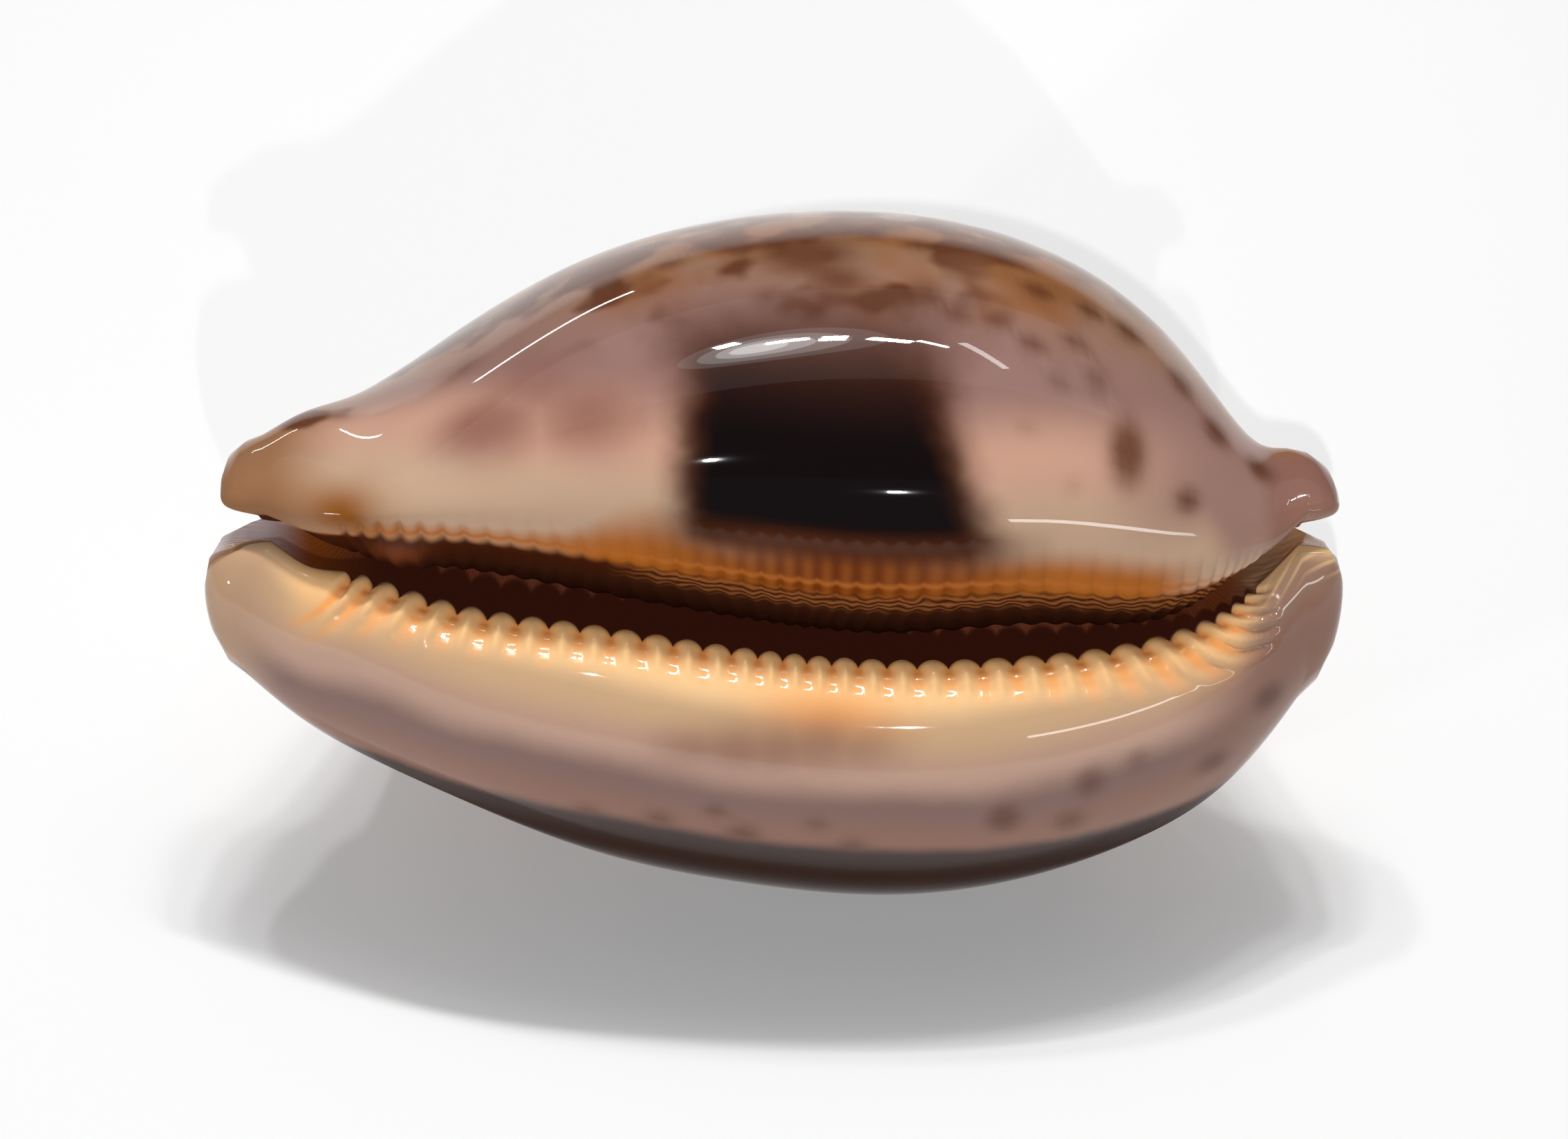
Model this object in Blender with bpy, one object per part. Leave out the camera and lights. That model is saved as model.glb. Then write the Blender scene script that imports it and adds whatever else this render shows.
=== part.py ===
"""Map cowrie shell: one hollow shell lying tipped on its side, the toothed slit turned to the front.

The wall is one closed surface. Each cross-section is a smooth loop through control points placed by
the profiles below; the loops follow the length, and both ends close in rounded canal rims.
Section directions: across = towards the columellar side, height = out of the base, in millimetres.
"""
import math

import bmesh
import bpy
import numpy as np

MM = 0.001

# Length and ends
HALF_LENGTH = 36.0
RIM_ROUNDING = 2.3
NOTCH_DEPTH = 4.0
LEFT_CORNER_RETREAT = 2.8
RIGHT_CORNER_RETREAT = 1.2
LEFT_BEAK_RETREAT = 1.6
RIGHT_BEAK_RETREAT = 0.7
LIP_EDGE_SETBACK = 0.6
CURL_SETBACK = 2.4
CANAL_START = 24.0
CANAL_FULL = 33.0

# Wall
WALL = 2.6
LIP_THICKNESS = 4.6
CANAL_LIP_THICKNESS = 3.0
SECTION_HEIGHT = 38.5
SMALLEST_SECTION = 0.16

# Canals: how far the wall and the curl shrink there, and the least half width of the channel
CANAL_WALL_LOSS = 0.15
CANAL_CURL_REACH = 0.18
CANAL_CURL_THICKNESS = 0.25
CANAL_CURL_NUDGE = 0.2
CHANNEL_HALF_WIDTH = 0.9

# Profiles along the length
STATIONS = (-34.0, -31.0, -27.0, -21.0, -12.0, -2.0, 8.0, 17.0, 24.0, 29.0, 32.0, 34.0)
LABRAL_REACH = (2.9, 6.0, 9.0, 12.4, 16.8, 19.4, 20.4, 18.8, 15.7, 11.9, 8.1, 4.8)
COLUMELLAR_REACH = (13.1, 14.1, 14.4, 17.2, 21.9, 24.5, 24.9, 23.1, 19.1, 14.2, 11.9, 12.0)
BASE_HEIGHT = (-5.0, -4.0, -2.8, -1.4, -0.3, 0.2, 0.2, -0.4, -1.6, -3.0, -4.2, -5.0)
WIDEST_HEIGHT = (-9.2, -10.0, -10.9, -11.9, -12.8, -13.2, -13.4, -12.8, -11.8, -10.6, -9.9, -9.5)
DORSUM_HEIGHT = (-14.0, -18.2, -24.0, -31.6, -37.4, -39.2, -38.0, -34.4, -28.4, -21.6, -16.6, -13.6)
LABRAL_EDGE = (7.2, 5.9, 5.6, 4.2, 2.9, 1.4, 0.5, 0.6, 1.3, 3.0, 5.0, 6.7)
COLUMELLAR_EDGE = (9.6, 9.0, 9.1, 9.4, 8.5, 6.8, 5.7, 5.8, 5.1, 5.9, 7.1, 8.8)

# Labral teeth: tooth number against place along the length
TOOTH_COUNT = 34
TOOTH_NUMBERS = (0, 5, 10, 14, 18, 22, 26, 30, 34)
TOOTH_PLACES = (-27.4, -18.7, -9.1, -1.75, 4.45, 11.9, 20.0, 27.1, 31.1)
LABRAL_GROOVE = 0.6
LABRAL_RIDGE_LENGTH = 2.8
LABRAL_RIDGE_GROWTH = 4.0
LABRAL_SLANT = 1.1

# Columellar teeth: finer, strongest towards the front end
COLUMELLAR_RATIO = 4.0 / 3.0
COLUMELLAR_GROOVE = 0.3
COLUMELLAR_FRONT_GROOVE = 0.35
COLUMELLAR_ZONE = 0.85

# Mesh
OUTER_POINTS = 19
LOOP_POINTS = 2 * OUTER_POINTS + 2
LABRAL_TIP = 0.0
COLUMELLAR_TOOTH_LINE = 15.0
CURL_TIP = 20.0
FINE = 4
TEETH_PER_CELL = 2
RIM_STEPS = 4
LEFT_CANAL_STEPS = 4
RIGHT_CANAL_STEPS = 2
LIP_ROWS = (0.4, 0.8, 1.2, 1.7, 2.4, 3.2)
BODY_ROWS = tuple(np.linspace(3.9, 13.75, 22))
TOOTH_ROWS = (14.3, 14.7, 15.0, 15.4, 15.9)
CURL_ROWS = (16.8, 17.8, 18.8, 19.5)

# Lying pose and the flat it rests on
BASE_TILT = 30.0
REST_DEPTH = 1.2
WELD = 1e-6


def natural_spline(knots, values, places):
    """Values of the natural cubic through the knots, held level beyond both ends."""
    knots = np.asarray(knots, dtype=float)
    values = np.asarray(values, dtype=float)
    places = np.clip(places, knots[0], knots[-1])
    step = np.diff(knots)
    slope = np.diff(values) / step
    inner = np.diag(2.0 * (step[:-1] + step[1:])) + np.diag(step[1:-1], 1) + np.diag(step[1:-1], -1)
    bend = np.zeros(len(knots))
    bend[1:-1] = np.linalg.solve(inner, 6.0 * np.diff(slope))
    span = np.clip(np.searchsorted(knots, places) - 1, 0, len(step) - 1)
    gone = places - knots[span]
    width = step[span]
    lead = slope[span] - width * (2.0 * bend[span] + bend[span + 1]) / 6.0
    cubic = (bend[span + 1] - bend[span]) * gone ** 3 / (6.0 * width)
    return values[span] + lead * gone + bend[span] * gone ** 2 / 2.0 + cubic


def ease(start, stop, value):
    """Smooth step from 0 at start to 1 at stop."""
    share = np.clip((value - start) / (stop - start), 0.0, 1.0)
    return share * share * (3.0 - 2.0 * share)


def blend(first, second, share):
    """Mix of two lists of section points."""
    return [(a[0] + (b[0] - a[0]) * share, a[1] + (b[1] - a[1]) * share) for a, b in zip(first, second)]


class Section:
    """The measures of every cross-section, as arrays over the places along the length."""

    def __init__(self, along):
        self.along = along
        self.lab = natural_spline(STATIONS, LABRAL_REACH, along)
        self.col = natural_spline(STATIONS, COLUMELLAR_REACH, along)
        self.base = natural_spline(STATIONS, BASE_HEIGHT, along)
        self.wide = natural_spline(STATIONS, WIDEST_HEIGHT, along)
        self.dorsum = natural_spline(STATIONS, DORSUM_HEIGHT, along)
        self.lab_edge = natural_spline(STATIONS, LABRAL_EDGE, along)
        self.col_edge = natural_spline(STATIONS, COLUMELLAR_EDGE, along)
        self.size = np.clip((self.base - self.dorsum) / SECTION_HEIGHT, SMALLEST_SECTION, 1.0)
        self.canal = ease(CANAL_START, CANAL_FULL, np.abs(along))
        self.wall = WALL * (1.0 - CANAL_WALL_LOSS * self.canal)
        self.lip = LIP_THICKNESS + (CANAL_LIP_THICKNESS - LIP_THICKNESS) * self.canal
        self.middle = (self.col - self.lab) / 2.0
        self.side = self.base - self.wide
        self.dome = self.wide - self.dorsum


def outer_points(s):
    """Outside of the section, from the labral lip over the dorsum to the columellar lip."""
    lab_base = s.lab + s.lab_edge
    col_base = s.col - s.col_edge
    return [
        (s.lab_edge - 1.3 * s.size, s.base - 0.9 * s.size),
        (s.lab_edge - 0.30 * lab_base, s.base + 0.55 * s.size),
        (0.3 * s.lab_edge - 0.70 * s.lab, s.base - 0.16 * s.side),
        (-0.985 * s.lab, s.wide + 0.42 * s.side),
        (-1.02 * s.lab, s.wide - 0.16 * s.dome),
        (0.07 * s.middle - 0.86 * s.lab, s.wide - 0.60 * s.dome),
        (0.27 * s.middle - 0.47 * s.lab, s.wide - 0.955 * s.dome),
        (0.50 * s.middle + 0.02 * s.col, s.wide - 1.06 * s.dome),
        (0.27 * s.middle + 0.50 * s.col, s.wide - 0.945 * s.dome),
        (0.07 * s.middle + 0.87 * s.col, s.wide - 0.59 * s.dome),
        (1.02 * s.col, s.wide - 0.14 * s.dome),
        (0.97 * s.col, s.wide + 0.46 * s.side),
        (s.col_edge + 0.66 * col_base, s.base - 0.12 * s.side),
        (s.col_edge + 0.30 * col_base, s.base + 0.75 * s.size),
        (s.col_edge + 0.5 * s.size, s.base - 0.4 * s.size),
    ]


def hollow_points(s):
    """Inside of the section in the belly, facing the outer points one by one."""
    lab_base = s.lab + s.lab_edge
    col_base = s.col - s.col_edge
    return [
        (s.lab_edge - 1.6 * s.size, s.base - 0.9 * s.size - s.lip),
        (s.lab_edge - 0.32 * lab_base, s.base - 0.3 * s.size - 1.02 * s.lip),
        (0.3 * s.lab_edge - 0.70 * s.lab + 0.3 * s.wall, s.base - 0.16 * s.side - 0.95 * s.lip),
        (1.35 * s.wall - 0.985 * s.lab, s.wide + 0.42 * s.side - 0.9 * s.wall),
        (s.wall - 1.02 * s.lab, s.wide - 0.16 * s.dome),
        (0.07 * s.middle - 0.86 * s.lab + 0.85 * s.wall, s.wide - 0.60 * s.dome + 0.45 * s.wall),
        (0.27 * s.middle - 0.47 * s.lab + 0.4 * s.wall, s.wide - 0.955 * s.dome + 0.9 * s.wall),
        (0.50 * s.middle + 0.02 * s.col, s.wide - 1.06 * s.dome + s.wall),
        (0.27 * s.middle + 0.50 * s.col - 0.4 * s.wall, s.wide - 0.945 * s.dome + 0.9 * s.wall),
        (0.07 * s.middle + 0.87 * s.col - 0.85 * s.wall, s.wide - 0.59 * s.dome + 0.45 * s.wall),
        (1.02 * s.col - s.wall, s.wide - 0.14 * s.dome),
        (0.97 * s.col - 1.3 * s.wall, s.wide + 0.46 * s.side - 0.9 * s.wall),
        (s.col_edge + 0.66 * col_base - 0.3 * s.wall, s.base - 0.12 * s.side - 0.85 * s.lip),
        (s.col_edge + 0.32 * col_base, s.base + 0.1 * s.size - 0.85 * s.lip),
        (s.col_edge + 2.6 * s.size, s.base - 0.3 * s.size - 0.95 * s.lip),
    ]


def channel_points(s):
    """Narrow channel the hollow shrinks to at both canals: down one side, across, up the other."""
    middle = (s.lab_edge + s.col_edge) / 2.0
    half = np.maximum((s.col_edge - s.lab_edge) / 2.0, CHANNEL_HALF_WIDTH)
    floor = (s.wide + s.dorsum) / 2.0 + 1.5
    top = s.base - 1.6
    deep = s.base - 1.2 - floor
    points = []
    for k in range(15):
        if k <= 4:
            points.append((middle - half * (1.05 - 0.05 * k), top - deep * k / 5.0))
        elif k <= 9:
            points.append((middle + half * (k - 7) / 2.6, floor - 0.1 * (3 - abs(k - 7))))
        else:
            points.append((middle + half * (1.05 - 0.05 * (14 - k)), top - deep * (14 - k) / 5.0))
    return points


def curl_points(s):
    """Columellar wall curling in below its lip: outer face, inner face and its free edge."""
    reach = s.size * (1.0 - s.canal) + CANAL_CURL_REACH * s.canal
    thick = s.lip * (1.0 - s.canal) + CANAL_CURL_THICKNESS * s.canal
    top = s.base - 0.4 * s.size
    nudge = CANAL_CURL_NUDGE * s.canal
    face = [
        (s.col_edge - 2.0 * reach, top - 2.8 * reach),
        (s.col_edge - 6.2 * reach, top - 7.6 * reach),
        (s.col_edge - 7.4 * reach, top - 13.1 * reach),
        (s.col_edge - 4.6 * reach, top - 17.8 * reach),
    ]
    back = [
        (s.col_edge + 1.2 * reach + nudge, top - thick - 1.8 * reach),
        (s.col_edge - 3.2 * reach + nudge, top - thick - 4.4 * reach),
        (s.col_edge - 4.8 * reach + nudge, top - thick - 7.8 * reach),
        (s.col_edge - 2.8 * reach + nudge, top - thick - 10.2 * reach),
    ]
    return face, back, (s.col_edge - 1.6 * reach, top - 18.2 * reach)


def set_back(along):
    """How far each pair of control points stands back from the ends: notches between the beaks."""
    pair = np.arange(OUTER_POINTS)
    notch = NOTCH_DEPTH * np.sin(math.pi * np.clip((pair - 2.5) / 9.0, 0.0, 1.0)) ** 2
    notch[14] = LIP_EDGE_SETBACK
    notch[15:] = CURL_SETBACK
    beak = ease(8.0, 12.0, pair)
    corner = 1.0 - ease(0.0, 1.4, pair)
    beak_retreat = np.where(along < 0.0, LEFT_BEAK_RETREAT, RIGHT_BEAK_RETREAT)
    corner_retreat = np.where(along < 0.0, LEFT_CORNER_RETREAT, RIGHT_CORNER_RETREAT)
    near_end = ease(HALF_LENGTH / 1.5, HALF_LENGTH, np.abs(along))
    retreat = beak_retreat[:, None] * beak[None] + corner_retreat[:, None] * corner[None]
    return near_end[:, None] * (notch[None] + retreat)


def stacked(points, like):
    """List of section points as one array (places, points, 2)."""
    return np.stack([np.stack([a + 0.0 * like, b + 0.0 * like], axis=-1) for a, b in points], axis=1)


def control_net(along, fullness):
    """Control points (places, loop points, 3); fullness 0 folds outside and inside together."""
    s = Section(along)
    face, back, curl_tip = curl_points(s)
    outside = stacked(outer_points(s) + face, along)
    inside = stacked(blend(hollow_points(s), channel_points(s), s.canal) + back, along)
    lip_tip = stacked([(s.lab_edge + 0.75 * s.size, s.base - 0.45 * s.lip - s.size)], along)
    end_tip = stacked([curl_tip], along)
    full = fullness[:, None, None]
    middle = (outside + inside) / 2.0
    half = (outside - inside) / 2.0 * full
    first = middle[:, :1] + (lip_tip - middle[:, :1]) * full
    last = middle[:, -1:] + (end_tip - middle[:, -1:]) * full
    loop = np.concatenate([first, middle + half, last, (middle - half)[:, ::-1]], axis=1)
    place = along[:, None] - np.sign(along)[:, None] * set_back(along)
    place = np.concatenate([place[:, :1], place, place[:, -1:], place[:, ::-1]], axis=1)
    return np.concatenate([place[..., None], loop], axis=-1)


def loop_weights(rows):
    """Periodic cubic spline weights and their slopes at places round the loop."""
    start = np.floor(rows).astype(int)
    t = rows - start
    parts = ((1 - t) ** 3, 3 * t ** 3 - 6 * t ** 2 + 4, -3 * t ** 3 + 3 * t ** 2 + 3 * t + 1, t ** 3)
    slopes = (-3 * (1 - t) ** 2, 9 * t ** 2 - 12 * t, -9 * t ** 2 + 6 * t + 3, 3 * t ** 2)
    weights = np.zeros((len(rows), LOOP_POINTS))
    rates = np.zeros((len(rows), LOOP_POINTS))
    for k in range(4):
        column = (start - 1 + k) % LOOP_POINTS
        weights[np.arange(len(rows)), column] += parts[k] / 6.0
        rates[np.arange(len(rows)), column] += slopes[k] / 6.0
    return weights, rates


def tooth_number(along):
    """Labral tooth number, as a real number, at a place along the length."""
    fine = np.linspace(0.0, TOOTH_COUNT, 681)
    return np.interp(along, natural_spline(TOOTH_NUMBERS, TOOTH_PLACES, fine), fine)


def groove_depth(along, rows, from_lip):
    """Depth of the grooves between the teeth, for arrays of places, loop rows and lip distance."""
    toothed = ease(-29.0, -27.2, along) * (1.0 - ease(31.0, 32.5, along))
    lean = LABRAL_SLANT * (along / 31.0) ** 3
    labral = 1.0 - np.abs(np.cos(math.pi * tooth_number(along - lean * np.maximum(from_lip, 0.0))))
    length = LABRAL_RIDGE_LENGTH + LABRAL_RIDGE_GROWTH * (along / 31.0) ** 2
    fade = np.where(from_lip > 0.0, 1.0 - ease(0.35 * length, length, from_lip),
                    1.0 - ease(0.5, 3.5, -from_lip))
    columellar = 1.0 - np.abs(np.cos(math.pi * COLUMELLAR_RATIO * tooth_number(along)))
    strength = COLUMELLAR_GROOVE + COLUMELLAR_FRONT_GROOVE * ease(-12.0, -24.0, along)
    zone = 1.0 - ease(0.3 * COLUMELLAR_ZONE, COLUMELLAR_ZONE, np.abs(rows - COLUMELLAR_TOOTH_LINE))
    return toothed * (LABRAL_GROOVE * labral * fade + strength * columellar * zone)


def place_along(step):
    """Place and fullness at a mesh step: rim, canal, one step per labral tooth, canal, rim."""
    full = HALF_LENGTH - RIM_ROUNDING
    left = RIM_STEPS + LEFT_CANAL_STEPS
    right = left + TOOTH_COUNT
    last = right + RIGHT_CANAL_STEPS
    knots = (0.0, RIM_STEPS, left)
    teeth = natural_spline(TOOTH_NUMBERS, TOOTH_PLACES, step - left)
    along = np.where(step < left, np.interp(step, knots[1:], (-full, TOOTH_PLACES[0])), teeth)
    along = np.where(step > right, np.interp(step, (right, last), (TOOTH_PLACES[-1], full)), along)
    turn = np.clip(np.maximum(RIM_STEPS - step, step - last) / RIM_STEPS, 0.0, 1.0) * math.pi / 2.0
    return along + np.sign(along) * RIM_ROUNDING * np.sin(turn), np.cos(turn)


def wall_surface(steps, rows):
    """Points of the wall (steps, rows, 3) with the grooves between the teeth cut in."""
    along, fullness = place_along(steps)
    net = control_net(along, fullness)
    weights, rates = loop_weights(rows)
    points = np.einsum("jn,inc->ijc", weights, net)
    across = np.einsum("jn,inc->ijc", rates, net)
    lengthwise = np.gradient(points, axis=0)
    normal = np.cross(across, lengthwise)
    normal /= np.maximum(np.linalg.norm(normal, axis=-1, keepdims=True), 1e-9)
    signed = (rows + LOOP_POINTS / 2.0) % LOOP_POINTS - LOOP_POINTS / 2.0
    pace = np.linalg.norm(across, axis=-1)
    from_lip = signed[None] * (0.45 * pace[:, np.argmin(np.abs(signed))][:, None] + 0.55 * pace)
    depth = groove_depth(along[:, None], rows[None], from_lip) * fullness[:, None]
    return points - normal * depth[..., None]


def loop_rows():
    """Rows round the loop, the inside mirroring the outside, and which rows are fine."""
    outside = np.array((LABRAL_TIP,) + LIP_ROWS + BODY_ROWS + TOOTH_ROWS + CURL_ROWS)
    inside = LOOP_POINTS - outside[:0:-1]
    rows = np.concatenate([outside, [CURL_TIP], inside])
    fine = (rows <= LIP_ROWS[3]) | (rows >= LOOP_POINTS - LIP_ROWS[1])
    fine |= (rows >= TOOTH_ROWS[0]) & (rows <= TOOTH_ROWS[-1])
    return rows, fine


def fill_cell(mesh, first, second):
    """Faces between two stretches of neighbouring rows, fanned where one has more points."""
    if len(first) == len(second):
        for a, b, c, d in zip(first, first[1:], second[1:], second):
            add_face(mesh, (a, b, c, d))
        return
    coarse, many = (first, second) if len(first) < len(second) else (second, first)
    half = len(many) // 2
    corners = [(coarse[0], many[k + 1], many[k]) for k in range(half)]
    corners.append((coarse[0], coarse[1], many[half]))
    corners += [(coarse[1], many[k + 1], many[k]) for k in range(half, len(many) - 1)]
    for corner in corners:
        add_face(mesh, corner if coarse is first else corner[::-1])


def add_face(mesh, corners):
    """One face, its repeated corners dropped."""
    distinct = list(dict.fromkeys(corners))
    if len(distinct) > 2:
        mesh.faces.new(distinct)


def cell_steps():
    """Mesh steps where cells begin and end: every step in rims and canals, every second among the teeth."""
    left = RIM_STEPS + LEFT_CANAL_STEPS
    right = left + TOOTH_COUNT
    last = right + RIGHT_CANAL_STEPS + RIM_STEPS
    return list(range(left)) + list(range(left, right, TEETH_PER_CELL)) + list(range(right, last + 1))


def build_wall():
    """The whole wall as one closed mesh, still in the section directions."""
    rows, fine = loop_rows()
    steps = cell_steps()
    points = wall_surface(np.arange(steps[-1] * FINE + 1) / FINE, rows)
    ends = [step * FINE for step in steps]
    left = (RIM_STEPS + LEFT_CANAL_STEPS) * FINE
    teeth = range(left, left + TOOTH_COUNT * FINE)
    mesh = bmesh.new()
    strips = []
    for row, is_fine in enumerate(fine):
        keep = sorted(set(ends) | set(teeth)) if is_fine else ends
        strips.append({k: mesh.verts.new(points[k, row]) for k in keep})
    for row, strip in enumerate(strips):
        following = strips[(row + 1) % len(strips)]
        for start, stop in zip(ends, ends[1:]):
            stretch = range(start, stop + 1)
            fill_cell(mesh, [strip[k] for k in stretch if k in strip],
                      [following[k] for k in stretch if k in following])
    bmesh.ops.remove_doubles(mesh, verts=mesh.verts, dist=WELD / MM)
    bmesh.ops.recalc_face_normals(mesh, faces=mesh.faces)
    return mesh


def lay_down(mesh):
    """Turn the base to the front, shrink to metres and cut the small flat the shell rests on."""
    tilt = math.radians(BASE_TILT)
    turn = np.array(((1, 0, 0), (0, math.sin(tilt), -math.cos(tilt)), (0, math.cos(tilt), math.sin(tilt))))
    for vertex in mesh.verts:
        vertex.co = turn @ np.array(vertex.co) * MM
    floor = min(vertex.co.z for vertex in mesh.verts) + REST_DEPTH * MM
    parts = list(mesh.verts) + list(mesh.edges) + list(mesh.faces)
    cut = bmesh.ops.bisect_plane(mesh, geom=parts, dist=1e-9, plane_co=(0.0, 0.0, floor),
                                 plane_no=(0.0, 0.0, -1.0), clear_outer=True)
    edges = [part for part in cut["geom_cut"] if isinstance(part, bmesh.types.BMEdge)]
    bmesh.ops.contextual_create(mesh, geom=edges)
    ring = np.array([vertex.co for edge in edges for vertex in edge.verts])
    centre = (ring.min(axis=0) + ring.max(axis=0)) / 2.0
    bmesh.ops.translate(mesh, verts=mesh.verts, vec=tuple(-centre))


def shell_material():
    """Glossy cream shell."""
    material = bpy.data.materials.new("shell_glaze")
    material.use_nodes = True
    shader = material.node_tree.nodes["Principled BSDF"]
    shader.inputs["Base Color"].default_value = (0.52, 0.33, 0.20, 1.0)
    shader.inputs["Roughness"].default_value = 0.22
    shader.inputs["Metallic"].default_value = 0.0
    return material


def main():
    """Clear the scene and build the shell."""
    for item in list(bpy.data.objects):
        bpy.data.objects.remove(item, do_unlink=True)
    mesh = build_wall()
    lay_down(mesh)
    data = bpy.data.meshes.new("cowrie_shell")
    mesh.to_mesh(data)
    mesh.free()
    for face in data.polygons:
        face.use_smooth = True
    data.materials.append(shell_material())
    shell = bpy.data.objects.new("cowrie_shell", data)
    bpy.context.scene.collection.objects.link(shell)


main()
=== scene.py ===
"""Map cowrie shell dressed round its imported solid: fine toothed lips, glazed markings, studio."""
from dataclasses import dataclass
from enum import Enum
import logging
import math
from typing import Any, Callable, Mapping, Sequence

import bpy
import numpy as np
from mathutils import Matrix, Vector


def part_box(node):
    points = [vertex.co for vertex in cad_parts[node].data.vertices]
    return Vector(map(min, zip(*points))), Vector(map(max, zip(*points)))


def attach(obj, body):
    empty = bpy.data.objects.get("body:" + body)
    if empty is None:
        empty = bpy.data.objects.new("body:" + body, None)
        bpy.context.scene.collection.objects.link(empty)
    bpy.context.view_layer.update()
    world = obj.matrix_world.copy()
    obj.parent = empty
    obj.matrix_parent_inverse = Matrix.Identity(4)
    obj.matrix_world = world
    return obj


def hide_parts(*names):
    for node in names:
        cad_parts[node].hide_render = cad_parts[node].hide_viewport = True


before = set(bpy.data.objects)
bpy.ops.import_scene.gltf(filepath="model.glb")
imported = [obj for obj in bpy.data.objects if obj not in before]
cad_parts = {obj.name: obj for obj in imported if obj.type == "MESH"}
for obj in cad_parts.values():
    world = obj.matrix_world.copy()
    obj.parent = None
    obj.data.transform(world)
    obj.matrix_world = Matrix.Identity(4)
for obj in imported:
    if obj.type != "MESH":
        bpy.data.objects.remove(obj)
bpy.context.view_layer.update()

LOG = logging.getLogger("cowrie")
MM = 0.001
NODE = "cowrie_shell"
BASE_TILT = math.radians(30.0)
PHOTO_WIDTH, PHOTO_HEIGHT = 2268, 1648
Pixel = Span = tuple[float, float]
Colour = tuple[float, float, float, float]


def ease(start: Any, stop: Any, value: Any) -> np.ndarray:
    """Smooth step: the cubic 3t^2 - 2t^3 of the share t that value has gone from start to stop."""
    share = np.clip((value - start) / (stop - start), 0.0, 1.0)
    return share * share * (3.0 - 2.0 * share)


def swell(centre: float, width: float, value: Any) -> np.ndarray:
    """Bell of height 1 round centre: e to the minus squared distance over squared width."""
    return np.exp(-((value - centre) / width) ** 2)


def natural_spline(knots: Sequence[float], values: Sequence[float], places: Any) -> np.ndarray:
    """Natural cubic through the knots, held level beyond both ends.

    Args:
        knots: rising places of the known values.
        values: the value at each knot.
        places: where the curve is wanted.

    Returns:
        The curve's values: on each span a cubic whose bends solve the usual tridiagonal equations.
    """
    knots = np.asarray(knots, dtype=float)
    values = np.asarray(values, dtype=float)
    places = np.clip(places, knots[0], knots[-1])
    step = np.diff(knots)
    slope = np.diff(values) / step
    inner = np.diag(2.0 * (step[:-1] + step[1:])) + np.diag(step[1:-1], 1) + np.diag(step[1:-1], -1)
    bend = np.zeros(len(knots))
    bend[1:-1] = np.linalg.solve(inner, 6.0 * np.diff(slope))
    span = np.clip(np.searchsorted(knots, places) - 1, 0, len(step) - 1)
    gone = places - knots[span]
    width = step[span]
    lead = slope[span] - width * (2.0 * bend[span] + bend[span + 1]) / 6.0
    cubic = (bend[span + 1] - bend[span]) * gone ** 3 / (6.0 * width)
    return values[span] + lead * gone + bend[span] * gone ** 2 / 2.0 + cubic


@dataclass(frozen=True)
class ShellProfile:
    """Sizes of the shell in millimetres, the same as the solid's."""

    half_length: float = 36.0
    rim_rounding: float = 2.3
    notch_depth: float = 4.0
    left_corner_retreat: float = 2.8
    right_corner_retreat: float = 1.2
    left_beak_retreat: float = 1.6
    right_beak_retreat: float = 0.7
    lip_edge_setback: float = 0.6
    curl_setback: float = 2.4
    canal_start: float = 24.0
    canal_full: float = 33.0
    wall: float = 2.6
    lip_thickness: float = 4.6
    canal_lip_thickness: float = 3.0
    section_height: float = 38.5
    smallest_section: float = 0.16
    canal_wall_loss: float = 0.15
    canal_curl_reach: float = 0.18
    canal_curl_thickness: float = 0.25
    canal_curl_nudge: float = 0.2
    channel_half_width: float = 0.9
    stations: tuple = (-34.0, -31.0, -27.0, -21.0, -12.0, -2.0, 8.0, 17.0, 24.0, 29.0, 32.0, 34.0)
    labral_reach: tuple = (2.9, 6.0, 9.0, 12.4, 16.8, 19.4, 20.4, 18.8, 15.7, 11.9, 8.1, 4.8)
    columellar_reach: tuple = (13.1, 14.1, 14.4, 17.2, 21.9, 24.5, 24.9, 23.1, 19.1, 14.2, 11.9, 12.0)
    base_height: tuple = (-5.0, -4.0, -2.8, -1.4, -0.3, 0.2, 0.2, -0.4, -1.6, -3.0, -4.2, -5.0)
    widest_height: tuple = (-9.2, -10.0, -10.9, -11.9, -12.8, -13.2, -13.4, -12.8, -11.8, -10.6, -9.9, -9.5)
    dorsum_height: tuple = (-14.0, -18.2, -24.0, -31.6, -37.4, -39.2, -38.0, -34.4, -28.4, -21.6, -16.6,
                            -13.6)
    labral_edge: tuple = (7.2, 5.9, 5.6, 4.2, 2.9, 1.4, 0.5, 0.6, 1.3, 3.0, 5.0, 6.7)
    columellar_edge: tuple = (9.6, 9.0, 9.1, 9.4, 8.5, 6.8, 5.7, 5.8, 5.1, 5.9, 7.1, 8.8)
    tooth_count: int = 34
    tooth_numbers: tuple = (0, 5, 10, 14, 18, 22, 26, 30, 34)
    tooth_places: tuple = (-27.4, -18.7, -9.1, -1.75, 4.45, 11.9, 20.0, 27.1, 31.1)


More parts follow.
